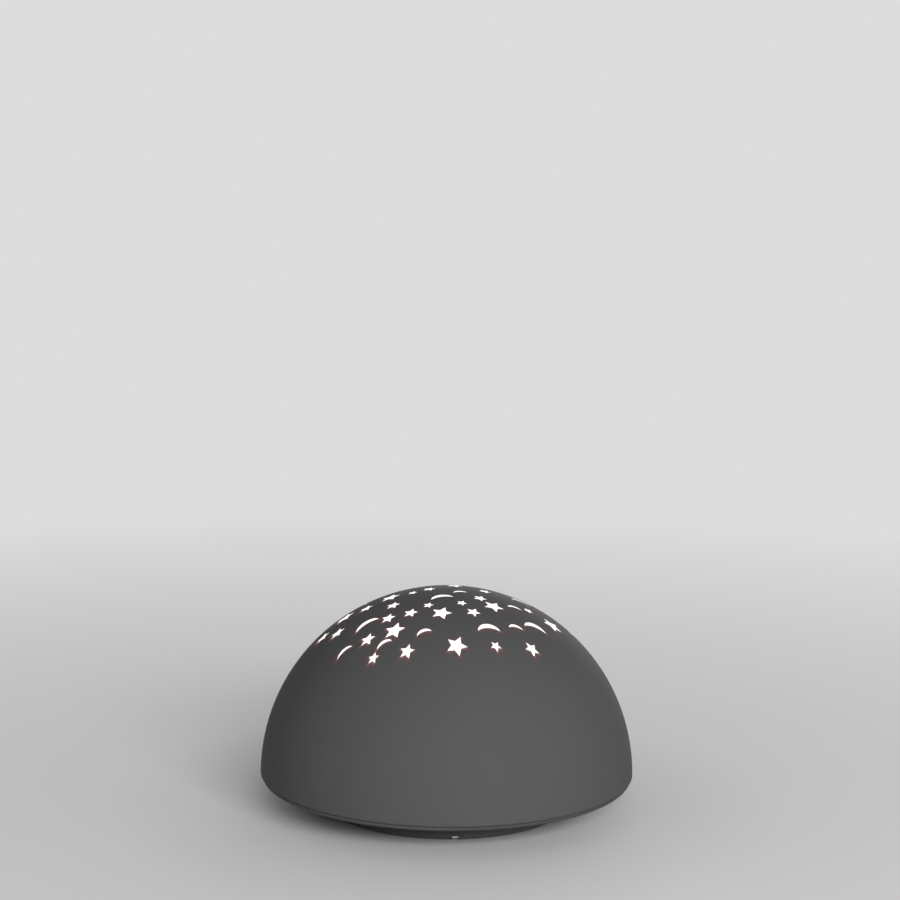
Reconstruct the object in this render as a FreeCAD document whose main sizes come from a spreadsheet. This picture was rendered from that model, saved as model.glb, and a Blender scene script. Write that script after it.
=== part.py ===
import FreeCAD
import Part
import Sketcher

import os
import re
from math import pi, sin, cos, tan, sqrt, hypot

from FreeCAD import Placement, Rotation, Vector

# Star night light projector. Millimetres, Z up, the table at Z = 0, the front at -Y.
# The origin is on the dome's axis, on the table under the rubber feet.

doc = FreeCAD.newDocument("StarProjector")
sizes = doc.addObject("Spreadsheet::Sheet", "Sizes")

DRIVING = [
    # Dome
    ("dome_radius", 60, "outer radius of the hemisphere"),
    ("dome_wall", 2, "wall of the opaque dome"),
    ("rim_fillet", 0.8, "rounding of the dome's lower outer edge"),
    ("star_large", 3.4, "tip radius of a large star"),
    ("star_medium", 2.4, "tip radius of a medium star"),
    ("star_small", 1.8, "tip radius of a small star"),
    ("star_waist", 0.48, "inner corner radius over tip radius"),
    ("moon_large", 7.3, "tip to tip of a large crescent"),
    ("moon_small", 4.7, "tip to tip of a small crescent"),
    ("moon_rise", 0.41, "height of a crescent's outer arc over its span"),
    ("moon_thickness", 0.25, "middle thickness of a crescent over its span"),
    ("window_wall", 1.2, "wall of the clear liner"),
    ("window_gap", 0.05, "gap between liner and dome"),
    ("window_latitude", 40, "degrees above the rim where the liner ends"),
    ("bead_radius", 0.8, "radius of the bead under the liner"),
    # Base tray
    ("foot_margin", 1.5, "floor left between the door lug's opening and the foot's wall"),
    ("foot_rise", 9.2, "table to the underside of the rim"),
    ("feet_proud", 1, "table to the underside of the floor"),
    ("foot_gap", 0.3, "table to the lower edge of the foot's wall"),
    ("tray_wall", 2, "floor, side wall and deck of the tray"),
    ("foot_chamfer", 0.5, "chamfer of the foot's lower edge"),
    ("rim_height", 1.3, "height of the ring that shows under the dome"),
    ("rim_inset", 0.6, "ring's radius under the dome's"),
    ("rim_round", 1.2, "rounding of the ring's lower edge"),
    ("seam_gap", 0.1, "shadow gap between ring and dome"),
    ("lip_height", 4, "lip above the ring, inside the dome"),
    ("lip_wall", 1.6, "wall of that lip"),
    ("lip_gap", 0.5, "lip's radius under the dome's inner radius"),
    ("notch_width", 1.8, "small notch in the foot's front edge"),
    ("notch_height", 0.9, "its height"),
    ("notch_depth", 2.6, "its depth"),
    ("notch_offset", 2.9, "its distance right of the middle"),
    # Cells and their bay
    ("cell_radius", 5.25, "radius of one AAA cell"),
    ("cell_length", 44.5, "length of a cell over its button"),
    ("cell_pitch", 11.2, "spacing of the cells"),
    ("cell_button", 0.8, "height of a cell's positive button"),
    ("cell_button_radius", 1.9, "radius of that button"),
    ("cell_play", 0.6, "room beside the outer cells"),
    ("roof_play", 0.7, "room above the cells"),
    ("contact_thickness", 0.4, "sheet metal of the contacts"),
    ("contact_size", 8, "width and height of a contact"),
    ("contact_tail", 2, "width of a contact's solder tail"),
    ("tail_reach", 1, "tail past the bay's wall"),
    ("spring_length", 5.1, "length of a pressed spring"),
    ("spring_radius", 3, "radius of its coils"),
    ("spring_wire", 0.25, "radius of its wire"),
    ("spring_turns", 4, "coils of a spring"),
    ("end_play", 0.1, "free length in the bay"),
    ("bay_wall", 1.6, "walls of the bay"),
    ("divider_wall", 1, "ribs between the cells"),
    ("divider_drop", 3.4, "how far the ribs hang from the roof"),
    # Battery door
    ("door_gap", 0.3, "gap round the door"),
    ("door_end_lap", 2.75, "door past the bay at each end"),
    ("door_side_lap", 0.25, "door past the bay at each side"),
    ("door_seat", 0.1, "gap over the door"),
    ("pad_thickness", 0.8, "foam pad under the cells"),
    ("pad_length", 38, "foam pad along the cells"),
    ("pad_width", 28, "foam pad across the cells"),
    ("tab_width", 5, "width of a door hook"),
    ("tab_height", 1.2, "thickness of a door hook"),
    ("tab_stem", 1, "upright part of a door hook"),
    ("tab_reach", 2.6, "hook past the door's edge"),
    ("tab_offset", 5.6, "hook's distance from the middle"),
    ("tab_gap", 0.15, "hook over the tray's floor"),
    ("tab_swing", 1.2, "room over a hook for its swing"),
    ("ear_radius", 4.5, "lug for the door screw"),
    ("ear_offset", 3, "screw past the door's edge"),
    ("ear_boss_radius", 3.9, "raised part of the lug"),
    ("ear_boss_height", 1.5, "how far it is raised"),
    ("ridge_length", 14, "grip ridges under the door"),
    ("ridge_width", 0.8, "one grip ridge"),
    ("ridge_height", 0.4, "how far it stands out"),
    ("ridge_pitch", 2, "spacing of the grip ridges"),
    ("ridge_inset", 4, "last grip ridge to the door's end"),
    # Screws
    ("screw_radius", 1.3, "shank of the casing and door screws"),
    ("head_radius", 2.4, "their heads"),
    ("head_height", 1.6, "their heads"),
    ("screw_length", 8, "casing screw under the head"),
    ("door_screw_length", 6.5, "door screw under the head"),
    ("small_radius", 1, "shank of the board and plate screws"),
    ("small_head_radius", 2.1, "their heads"),
    ("small_head_height", 1.3, "their heads"),
    ("small_length", 5, "board and plate screw under the head"),
    ("screw_gap", 0.05, "screw to its pilot hole"),
    ("clear_gap", 0.3, "screw to its clearance hole"),
    ("head_gap", 0.5, "screw head to its recess"),
    ("head_depth", 0.4, "how deep a head lies in its recess"),
    ("tip_gap", 0.6, "pilot hole past a screw's tip"),
    ("cross_width", 0.7, "cross slot in a head"),
    ("cross_share", 1.3, "length of the cross over the head's radius"),
    ("cross_depth", 0.8, "its depth"),
    ("boss_gap", 0.4, "screw boss to the tray's lip"),
    ("boss_radius", 3.5, "screw boss in the dome"),
    ("boss_floor", 1.5, "plastic over a casing screw's head"),
    ("tower_wall", 1.3, "plastic round a casing screw's head"),
    ("insert_radius", 2.2, "brass insert for the door screw"),
    ("insert_length", 5.5, "its length"),
    ("insert_gap", 0.15, "door screw to the insert's bore"),
    ("block_width", 9, "block that holds the insert"),
    # Rubber feet
    ("pad_radius", 4, "radius of a rubber foot"),
    ("pad_recess", 0.4, "depth of its recess"),
    ("pad_margin", 0.4, "rubber foot to the foot's wall"),
    ("pad_angle", 52.4, "degrees from the X axis to a rubber foot"),
    # Reflector plate and light board
    ("plate_thickness", 1.5, "white reflector plate"),
    ("plate_gap", 0.8, "plate over the bay's roof"),
    ("plate_edge", 0.5, "its edge past the posts"),
    ("post_radius", 3, "posts under it"),
    ("post_step", 1, "posts from the deck's inner edge"),
    ("plate_side_gap", 0.5, "plate to the upright board's rails"),
    ("collar_radius", 18.2, "collar round the light board"),
    ("collar_wall", 1.2, "its wall"),
    ("collar_height", 3, "its height"),
    ("cable_slot_length", 10, "cable slot in the plate"),
    ("cable_slot_width", 4, "cable slot in the plate"),
    ("board_thickness", 1.6, "every circuit board"),
    ("light_board_radius", 15, "round light board"),
    ("light_screw", 12, "its screws from the middle"),
    ("light_screw_length", 2.9, "these screws under the head"),
    ("led_circle", 6.5, "circle of the six lights"),
    ("led_radius", 2.4, "radius of a light"),
    ("led_flange", 2.8, "radius of its flange"),
    ("led_flange_height", 1, "its flange"),
    ("led_body", 3, "straight part over the flange"),
    ("resistor_length", 3.2, "small resistors"),
    ("resistor_width", 1.6, "small resistors"),
    ("resistor_height", 0.6, "small resistors"),
    ("resistor_pitch", 3.2, "spacing of the small resistors"),
    # Control board and slide switch
    ("control_length", 34, "control board along X"),
    ("control_back", 1.55, "control board to the bay"),
    ("control_corner", 0.64, "its front corners to the foot's wall"),
    ("control_screw", 13.8, "its screws from the middle"),
    ("control_post", 2.6, "radius of the posts under it"),
    ("switch_length", 8.6, "slide switch body"),
    ("switch_width", 4.4, "slide switch body"),
    ("switch_height", 3.4, "slide switch body"),
    ("switch_lift", 0.3, "switch body over the floor"),
    ("part_gap", 0.1, "loose fit of small pieces"),
    ("part_margin", 0.9, "parts on the control board to its front edge"),
    ("knob_length", 4, "slider knob along X"),
    ("knob_width", 3, "slider knob along Y"),
    ("knob_recess", 0.2, "knob's face inside the foot"),
    ("knob_gap", 0.3, "knob to its slot"),
    ("lever_length", 2, "slider's lever along X"),
    ("lever_width", 1.4, "slider's lever along Y"),
    ("lever_height", 1.2, "lever inside the switch body"),
    ("slide_travel", 2, "travel of the slider"),
    ("thumb_length", 12, "finger recess round the slider"),
    ("thumb_width", 6.4, "finger recess round the slider"),
    ("thumb_depth", 0.9, "finger recess round the slider"),
    ("chip_x", 8, "controller chip, left of the middle"),
    ("chip_length", 5, "controller chip"),
    ("chip_width", 4, "controller chip"),
    ("chip_height", 1.5, "controller chip"),
    ("capacitor_x", 8.5, "round capacitor, right of the middle"),
    ("capacitor_radius", 2.5, "round capacitor"),
    ("capacitor_height", 6.5, "round capacitor"),
    ("connector_length", 9.5, "cable connectors"),
    ("connector_width", 3, "cable connectors"),
    ("connector_height", 4.5, "cable connectors"),
    ("connector_margin", 0.5, "cable connector to the control board's back edge"),
    # Mode button at the back
    ("button_height", 22, "button's axis over the table"),
    ("button_radius", 5.5, "button cap"),
    ("button_gap", 0.25, "cap to its sleeve"),
    ("button_proud", 0.8, "cap over the dome's surface"),
    ("button_travel", 0.5, "travel of the button"),
    ("sleeve_wall", 1.5, "sleeve round the button"),
    ("sleeve_depth", 5, "dome's outside to the sleeve's inner end"),
    ("flange_radius", 6.6, "button's retaining flange"),
    ("flange_thickness", 1.3, "button's retaining flange"),
    ("stem_radius", 2, "button's stem"),
    ("stem_length", 2, "button's stem"),
    ("tact_size", 6, "push switch body"),
    ("tact_height", 3.5, "push switch body"),
    ("plunger_radius", 1.7, "push switch plunger"),
    ("plunger_reach", 2, "plunger out of the body"),
    ("plunger_depth", 0.8, "plunger inside the body"),
    ("touch_gap", 0.05, "stem to plunger"),
    ("upright_width", 18, "upright board"),
    ("upright_height", 16, "upright board"),
    ("rail_width", 4, "rail that holds the upright board"),
    ("rail_wall", 1.8, "plastic each side of the board"),
    ("rail_height", 13, "rail over the deck"),
    ("rail_bite", 1.1, "how deep the board sits in a rail"),
    # Wires
    ("wire_radius", 0.6, "every wire"),
    ("wire_bend", 1.7, "bends of the wires"),
    ("wire_pitch", 2, "spacing of neighbouring wires"),
    ("lead_reach", 2.15, "battery leads past the contacts' tails"),
    ("cable_rise", 4.6, "light cable over the plate"),
    ("cable_landing", 2.2, "light cable past the lights"),
    ("wire_start", 3.5, "button wires, right of the middle"),
    ("wire_step", 1.5, "button wires over each other"),
    ("wire_clear", 2, "button wires behind the bay"),
    ("lead_inset", 1.4, "battery leads from the control board's ends"),
    ("lead_depth", 2.3, "battery leads from its back edge"),
    ("wire_depth", 2.2, "button wires from its front edge"),
]

DERIVED = [
    ("floor_top", "feet_proud + tray_wall"),
    ("deck_top", "foot_rise + tray_wall"),
    ("rim_top", "foot_rise + rim_height"),
    ("rim_radius", "dome_radius - rim_inset"),
    ("dome_base", "rim_top + seam_gap"),
    ("inner_radius", "dome_radius - dome_wall"),
    ("lip_radius", "inner_radius - lip_gap"),
    ("lip_inner", "lip_radius - lip_wall"),
    ("boss_circle", "lip_inner - boss_gap - boss_radius"),
    ("window_radius", "inner_radius - window_gap"),
    ("window_edge", "dome_base + window_radius * sin(window_latitude)"),
    ("cell_axis", "floor_top + pad_thickness + cell_radius"),
    ("bay_x", "(cell_length + spring_length + 2 * contact_thickness + end_play) / 2"),
    ("bay_y", "cell_pitch + cell_radius + cell_play"),
    ("cell_start", "contact_thickness + spring_length - bay_x"),
    ("roof_under", "cell_axis + cell_radius + roof_play"),
    ("roof_top", "roof_under + bay_wall"),
    ("door_x", "bay_x + door_end_lap"),
    ("door_y", "bay_y + door_side_lap"),
    ("door_top", "floor_top - door_seat"),
    ("tab_under", "floor_top + tab_gap"),
    ("tab_top", "tab_under + tab_height"),
    ("ear_x", "door_x + ear_offset"),
    ("foot_inner", "ear_x + ear_radius + door_gap + foot_margin"),
    ("foot_radius", "foot_inner + tray_wall"),
    ("pad_circle", "foot_inner - pad_margin - pad_radius"),
    ("pad_x", "pad_circle * cos(pad_angle)"),
    ("pad_y", "pad_circle * sin(pad_angle)"),
    ("ear_top", "door_top + ear_boss_height"),
    ("block_under", "ear_top + door_gap"),
    ("door_head", "feet_proud + head_depth + head_height"),
    ("tower_top", "deck_top + boss_floor"),
    ("casing_head", "tower_top - boss_floor"),
    ("plate_under", "roof_top + plate_gap"),
    ("plate_top", "plate_under + plate_thickness"),
    ("post_circle", "foot_inner + post_radius - post_step"),
    ("plate_radius", "post_circle + post_radius + plate_edge"),
    ("light_top", "plate_top + board_thickness"),
    ("switch_under", "floor_top + switch_lift"),
    ("control_under", "switch_under + switch_height + part_gap"),
    ("control_top", "control_under + board_thickness"),
    ("control_rear", "bay_y + bay_wall + control_back"),
    ("control_front", "sqrt((foot_inner - control_corner) ^ 2 - control_length ^ 2 / 4)"),
    ("control_width", "control_front - control_rear"),
    ("control_centre", "(control_front + control_rear) / 2"),
    ("knob_x", "slide_travel / 2"),
    ("sleeve_y", "dome_radius - sleeve_depth"),
    ("flange_y", "sleeve_y - part_gap - flange_thickness"),
    ("stem_y", "flange_y - stem_length"),
    ("plunger_end", "stem_y - touch_gap"),
    ("tact_top", "plunger_end - plunger_reach"),
    ("tact_y", "tact_top - tact_height"),
    ("upright_y", "tact_y - board_thickness"),
    ("rail_x", "upright_width / 2 - rail_bite"),
    ("rail_front", "upright_y - part_gap - rail_wall"),
    ("tail_axis", "cell_axis + contact_size / 2 - contact_tail / 2"),
    ("tail_end", "bay_x + bay_wall + tail_reach"),
    ("lead_run", "tail_end + lead_reach"),
    ("side_run", "lead_run + wire_step"),
    ("turn_y", "bay_y + bay_wall + wire_clear"),
]

for row, (alias, number, note) in enumerate(DRIVING, start=1):
    sizes.set(f"A{row}", note)
    sizes.set(f"B{row}", str(number))
    sizes.setAlias(f"B{row}", alias)
for row, (alias, formula) in enumerate(DERIVED, start=1):
    sizes.setAlias(f"D{row}", alias)
for row, (alias, formula) in enumerate(DERIVED, start=1):
    sizes.set(f"D{row}", "=" + formula)
doc.recompute()

ALIASES = {alias for alias, number, note in DRIVING} | {alias for alias, formula in DERIVED}
now = {alias: float(getattr(sizes, alias)) for alias in ALIASES}

TOWARD_X = Rotation(Vector(0, 1, 0), 90)
TOWARD_Y = Rotation(Vector(1, 0, 0), -90)
CASING_ANGLES = [45, 135, 225, 315]
POST_ANGLES = [50, 170, 290]


def bound(text):
    """The expression with each size written as a cell of the sheet."""
    return re.sub(r"[a-z]\w*", lambda m: ("Sizes." if m.group() in ALIASES else "") + m.group(), str(text))


def tie(item, **texts):
    """Bind properties of an object to expressions of the sizes."""
    for name, text in texts.items():
        item.setExpression(name, bound(text))
    return item


def place(item, x=0, y=0, z=0, turn=None):
    """Bind an object's place, with an optional fixed rotation."""
    if turn:
        item.Placement = Placement(Vector(), turn)
    for axis, text in zip("xyz", (x, y, z)):
        item.setExpression(f"Placement.Base.{axis}", bound(text))
    return item


def disc(name, radius, height, x=0, y=0, z=0, turn=None):
    item = doc.addObject("Part::Cylinder", name)
    return place(tie(item, Radius=radius, Height=height), x, y, z, turn)


def ball(name, radius, x=0, y=0, z=0):
    item = doc.addObject("Part::Sphere", name)
    return place(tie(item, Radius=radius), x, y, z)


def block(name, xs, ys, zs):
    item = doc.addObject("Part::Box", name)
    tie(
        item,
        Length=f"({xs[1]}) - ({xs[0]})",
        Width=f"({ys[1]}) - ({ys[0]})",
        Height=f"({zs[1]}) - ({zs[0]})",
    )
    return place(item, xs[0], ys[0], zs[0])


def centred(name, length, width, zs, x=0, y=0):
    """A block with its middle at x, y."""
    return block(
        name,
        (f"({x}) - ({length}) / 2", f"({x}) + ({length}) / 2"),
        (f"({y}) - ({width}) / 2", f"({y}) + ({width}) / 2"),
        zs,
    )


def fuse(name, *items):
    item = doc.addObject("Part::MultiFuse", name)
    item.Shapes = list(items)
    return item


def cut(name, base, *tools):
    item = doc.addObject("Part::Cut", name)
    item.Base = base
    item.Tool = tools[0] if len(tools) == 1 else fuse(name + "_tools", *tools)
    return item


def common(name, first, second):
    item = doc.addObject("Part::Common", name)
    item.Base = first
    item.Tool = second
    return item


def group(name, items):
    item = doc.addObject("Part::Compound", name)
    item.Links = list(items)
    return item


def copy(source, name, x=0, y=0, z=0, turn=None):
    """A linked copy of an object that is drawn at the origin."""
    item = doc.addObject("App::Link", name)
    item.LinkedObject = source
    return place(item, x, y, z, turn)


def around(count_angles, circle):
    """Places on a circle round the dome's axis."""
    return [(f"{circle} * cos({angle})", f"{circle} * sin({angle})") for angle in count_angles]


def plane_of(body, role):
    return next(item for item in body.Origin.OriginFeatures if item.Role == role)


def outline(body, name, role, points):
    """A closed sketch with straight sides, each corner held by two distances."""
    sketch = body.newObject("Sketcher::SketchObject", name)
    sketch.AttachmentSupport = [(plane_of(body, role), "")]
    sketch.MapMode = "FlatFace"
    corners = [Vector(number_of(x), number_of(y), 0) for x, y in points]
    for start, end in zip(corners, corners[1:] + corners[:1]):
        sketch.addGeometry(Part.LineSegment(start, end), False)
    for side in range(len(corners)):
        sketch.addConstraint(Sketcher.Constraint("Coincident", side, 2, (side + 1) % len(corners), 1))
    for side, (x, y) in enumerate(points):
        for kind, text, size in (("DistanceX", x, corners[side].x), ("DistanceY", y, corners[side].y)):
            index = sketch.addConstraint(Sketcher.Constraint(kind, -1, 1, side, 1, size))
            sketch.setExpression(f"Constraints[{index}]", bound(text))
    return sketch


def number_of(text):
    """What an expression comes to with the present sizes."""
    sizes.set("F1", "=" + str(text))
    sizes.recompute()
    return float(sizes.get("F1"))


# Cut-outs: kind, degrees from the pole, degrees round from the front towards +X.
# The front ones are read off the photo; the back goes on in the same manner.
# All run straight down, as a mould with one pull leaves them, and each kind lies one way round.
FRONT_CUTOUTS = [
    ("S", 37.5, -20), ("s", 41.5, -35), ("m", 41.5, -54), ("S", 42, -84), ("S", 37.5, -73),
    ("S", 35.5, -45.5), ("m", 35.5, -34.5), ("L", 30, -33.5), ("m", 29, -15), ("M", 30, -58.5),
    ("S", 25.5, -46.5), ("L", 33.5, -91), ("S", 21, -33), ("L", 19.5, -6), ("S", 19.5, -60.5),
    ("S", 26, -84), ("s", 15.5, -23), ("L", 18, -89), ("s", 11, -84), ("M", 8.5, -15),
    ("S", 6, -100), ("s", 28, -106), ("M", 27, -118.5), ("S", 20, -122), ("S", 13, -153),
    ("L", 34.5, 4.5), ("s", 35.5, 25), ("S", 38.5, 44), ("M", 27.5, 26.5), ("m", 29, 46),
    ("M", 31, 61), ("L", 34, 80), ("L", 18, 50), ("S", 19.5, 23), ("m", 21.5, 71),
    ("s", 25.5, 80), ("s", 13.5, 17.5), ("S", 12, 53), ("M", 23.5, 102), ("m", 4.5, 49),
    ("S", 11.5, 102), ("L", 7.5, 165), ("M", 16.5, 130), ("S", 33, 106), ("m", 27.5, 114),
    ("m", 13, 152),
]
BACK_CUTOUTS = [
    ("S", 20, -157), ("L", 20, 174), ("S", 26, 135), ("M", 28, -153), ("m", 29, -134),
    ("m", 29, 166), ("L", 30, 147), ("L", 35, -175), ("s", 36, -155), ("S", 36, 135),
    ("S", 38, 161), ("S", 39, -136), ("s", 42, 98), ("M", 41, 124), ("s", 42, 145),
]
STAR_TURN = Rotation(Vector(0, 0, 1), -20)
MOON_TURN = Rotation(Vector(0, 0, 1), 16)


def padded(name, sketch_of, start, length):
    """A body with one sketch, drawn at a height, and one pad."""
    body = doc.addObject("PartDesign::Body", name)
    sketch = sketch_of(body)
    sketch.setExpression("AttachmentOffset.Base.z", bound(start))
    pad = body.newObject("PartDesign::Pad", name + "_pad")
    pad.Profile = sketch
    tie(pad, Length=length)
    body.Tip = pad
    return body


def star_sketch(tip_radius):
    points = []
    for corner in range(10):
        radius = tip_radius if corner % 2 == 0 else f"{tip_radius} * star_waist"
        points.append((f"{radius} * cos({90 + 36 * corner})", f"{radius} * sin({90 + 36 * corner})"))
    return lambda body: outline(body, body.Name + "_outline", "XY_Plane", points)


def moon_sketch(span):
    """Two arcs that share their ends, the horns down."""
    base = f"-{span} * moon_rise / 2"

    def draw(body):
        sketch = body.newObject("Sketcher::SketchObject", body.Name + "_outline")
        sketch.AttachmentSupport = [(plane_of(body, "XY_Plane"), "")]
        sketch.MapMode = "FlatFace"
        half = number_of(span) / 2
        low = number_of(base)
        for side, rise in enumerate((f"{span} * moon_rise", f"{span} * (moon_rise - moon_thickness)")):
            top = Vector(0, low + number_of(rise), 0)
            sketch.addGeometry(Part.Arc(Vector(half, low, 0), top, Vector(-half, low, 0)), False)
            centre = f"{base} + {rise} - ({span} ^ 2 / 4 + ({rise}) ^ 2) / (2 * ({rise}))"
            height = Sketcher.Constraint("DistanceY", -1, 1, side, 3, number_of(centre))
            index = sketch.addConstraint(height)
            sketch.setExpression(f"Constraints[{index}]", bound(centre))
        for point, x in ((1, f"{span} / 2"), (2, f"-{span} / 2")):
            for kind, text in (("DistanceX", x), ("DistanceY", base)):
                index = sketch.addConstraint(Sketcher.Constraint(kind, -1, 1, 0, point, number_of(text)))
                sketch.setExpression(f"Constraints[{index}]", bound(text))
            sketch.addConstraint(Sketcher.Constraint("Coincident", 0, point, 1, point))
        return sketch

    return draw


cutout_depth = "dome_base + dome_radius + dome_wall - window_edge"
KINDS = {
    "L": padded("large_star", star_sketch("star_large"), "window_edge", cutout_depth),
    "S": padded("medium_star", star_sketch("star_medium"), "window_edge", cutout_depth),
    "s": padded("small_star", star_sketch("star_small"), "window_edge", cutout_depth),
    "M": padded("large_moon", moon_sketch("moon_large"), "window_edge", cutout_depth),
    "m": padded("small_moon", moon_sketch("moon_small"), "window_edge", cutout_depth),
}
cutouts = []
for kind, polar, azimuth in FRONT_CUTOUTS + BACK_CUTOUTS:
    x = f"dome_radius * sin({polar}) * sin({azimuth})"
    y = f"-dome_radius * sin({polar}) * cos({azimuth})"
    turn = STAR_TURN if kind in "LSs" else MOON_TURN
    cutouts.append(copy(KINDS[kind], "cutout", x, y, 0, turn))

# Dome: hemisphere, rounded rim, liner bead, screw bosses, button sleeve and cut-outs
hemisphere = doc.addObject("PartDesign::Body", "hemisphere")
outside = hemisphere.newObject("PartDesign::AdditiveSphere", "outside")
outside.Angle1 = 0
tie(outside, Radius="dome_radius")
hemisphere.Tip = outside
doc.recompute()
inside = hemisphere.newObject("PartDesign::SubtractiveSphere", "inside")
tie(inside, Radius="inner_radius")
hemisphere.Tip = inside
doc.recompute()


def round_edges(body, base, radius, wanted):
    """Fillet the edges whose bounding box passes a test."""
    names = [f"Edge{i}" for i, edge in enumerate(base.Shape.Edges, start=1) if wanted(edge.BoundBox)]
    fillet = body.newObject("PartDesign::Fillet", body.Name + "_fillet")
    fillet.Base = (base, names)
    tie(fillet, Radius=radius)
    body.Tip = fillet


def lowest_ring(box, radius, height):
    return abs(box.XMax - radius) < 0.01 and abs(box.ZMax - height) < 0.01 and box.ZLength < 0.01


round_edges(hemisphere, inside, "rim_fillet", lambda box: lowest_ring(box, now["dome_radius"], 0))
place(hemisphere, z="dome_base")
bead = doc.addObject("Part::Torus", "bead")
place(bead, z="window_edge - bead_radius - part_gap")
bead_level = "(window_edge - bead_radius - part_gap - dome_base)"
tie(bead, Radius1=f"sqrt(inner_radius ^ 2 - {bead_level} ^ 2)", Radius2="bead_radius")
wall_middle = ball("wall_middle", "inner_radius + dome_wall / 2", z="dome_base")
casing_places = around(CASING_ANGLES, "boss_circle")
bosses = group(
    "boss_blanks",
    [disc("boss", "boss_radius", "dome_radius", x, y, "tower_top") for x, y in casing_places],
)
pilot_depth = "screw_length - boss_floor + tip_gap"
sleeve_radius = "button_radius + button_gap + sleeve_wall"
sleeve = disc("sleeve", sleeve_radius, "sleeve_depth", 0, "sleeve_y", "button_height", TOWARD_Y)
dome_shell = cut(
    "dome_shell",
    fuse(
        "dome_solid",
        hemisphere,
        bead,
        common("bosses", bosses, wall_middle),
        common("sleeve_wall", sleeve, wall_middle),
    ),
    group("cutouts", cutouts),
    disc(
        "button_hole",
        "button_radius + button_gap",
        "2 * sleeve_depth",
        0,
        "sleeve_y - dome_wall",
        "button_height",
        TOWARD_Y,
    ),
    *[
        disc("boss_pilot", "screw_radius + screw_gap", pilot_depth, x, y, "tower_top")
        for x, y in casing_places
    ],
)

# Clear liner under the cut-outs
window_cap = ball("window_cap", "window_radius", z="dome_base")
tie(window_cap, Angle1="window_latitude")
window_inside = ball("window_inside", "window_radius - window_wall", z="dome_base")
window_liner = cut("window_liner", window_cap, window_inside)

# Base tray: one turned profile, then the bay, posts, towers and openings
tray_profile = [
    ("0", "feet_proud"),
    ("foot_inner", "feet_proud"),
    ("foot_inner", "foot_gap"),
    ("foot_radius - foot_chamfer", "foot_gap"),
    ("foot_radius", "foot_gap + foot_chamfer"),
    ("foot_radius", "foot_rise"),
    ("rim_radius", "foot_rise"),
    ("rim_radius", "rim_top"),
    ("lip_radius", "rim_top"),
    ("lip_radius", "rim_top + lip_height"),
    ("lip_inner", "rim_top + lip_height"),
    ("lip_inner", "deck_top"),
    ("foot_inner", "deck_top"),
    ("foot_inner", "floor_top"),
    ("0", "floor_top"),
]
dish = doc.addObject("PartDesign::Body", "dish")
dish_outline = outline(dish, "dish_outline", "XZ_Plane", tray_profile)
dish_turned = dish.newObject("PartDesign::Revolution", "dish_turned")
dish_turned.Profile = dish_outline
dish_turned.ReferenceAxis = (dish_outline, ["V_Axis"])
dish_turned.Angle = 360
dish.Tip = dish_turned
doc.recompute()
rim_corner = (now["rim_radius"], now["foot_rise"])
round_edges(dish, dish_turned, "rim_round", lambda box: lowest_ring(box, *rim_corner))

bay = cut(
    "bay",
    centred("bay_outside", "2 * (bay_x + bay_wall)", "2 * (bay_y + bay_wall)", ("floor_top", "roof_top")),
    centred("bay_inside", "2 * bay_x", "2 * bay_y", ("feet_proud", "roof_under")),
)
divider_zs = ("roof_under - divider_drop", "roof_under")
dividers = [
    centred("divider", "-2 * cell_start - 2 * divider_wall", "divider_wall", divider_zs, 0, y)
    for y in ("cell_pitch / 2", "-cell_pitch / 2")
]
insert_block = block(
    "insert_block",
    ("bay_x + bay_wall / 2", "foot_radius - tray_wall / 2"),
    ("-block_width / 2", "block_width / 2"),
    ("block_under", "deck_top"),
)
towers = [
    disc("tower", "head_radius + head_gap + tower_wall", "tower_top - foot_rise", x, y, "foot_rise")
    for x, y in casing_places
]
post_foot = "deck_top - tray_wall / 2"
post_places = around(POST_ANGLES, "post_circle")
plate_posts = [
    disc("plate_post", "post_radius", f"plate_under - ({post_foot})", x, y, post_foot)
    for x, y in post_places
]
board_foot = "floor_top - tray_wall / 2"
control_places = [("control_screw", "-control_centre"), ("-control_screw", "-control_centre")]
control_posts = [
    disc("control_post", "control_post", f"control_under - ({board_foot})", x, y, board_foot)
    for x, y in control_places
]
rails = [
    block(
        "rail",
        xs,
        ("rail_front", "tact_y + part_gap + rail_wall"),
        ("deck_top - tray_wall / 2", "deck_top + rail_height"),
    )
    for xs in (("rail_x", "rail_x + rail_width"), ("-rail_x - rail_width", "-rail_x"))
]
rail_slot = centred(
    "rail_slot",
    "upright_width + 2 * part_gap",
    "board_thickness + 2 * part_gap",
    ("deck_top", "deck_top + 2 * rail_height"),
    0,
    "upright_y + board_thickness / 2",
)
door_opening = [
    centred("door_opening", "2 * (door_x + door_gap)", "2 * (door_y + door_gap)", ("0", "floor_top")),
    block(
        "ear_opening",
        ("door_x", "ear_x"),
        ("-ear_radius - door_gap", "ear_radius + door_gap"),
        ("0", "floor_top"),
    ),
    disc("ear_round", "ear_radius + door_gap", "floor_top", "ear_x", 0, 0),
    disc("insert_hole", "insert_radius", "insert_length", "ear_x", 0, "block_under"),
]
hook_rooms = [
    centred(
        "hook_room",
        "2 * (tab_reach + door_gap)",
        "tab_width + 2 * door_gap",
        ("floor_top", "tab_top + tab_swing"),
        "-door_x",
        y,
    )
    for y in ("tab_offset", "-tab_offset")
]
tail_slots = [
    centred(
        "tail_slot",
        "4 * bay_wall",
        "contact_tail + 2 * part_gap",
        ("tail_axis - contact_thickness / 2 - part_gap", "tail_axis + contact_thickness / 2 + part_gap"),
        x,
        y,
    )
    for x, y in (("bay_x + bay_wall", "-cell_pitch"), ("-bay_x - bay_wall", "cell_pitch"))
]
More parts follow.
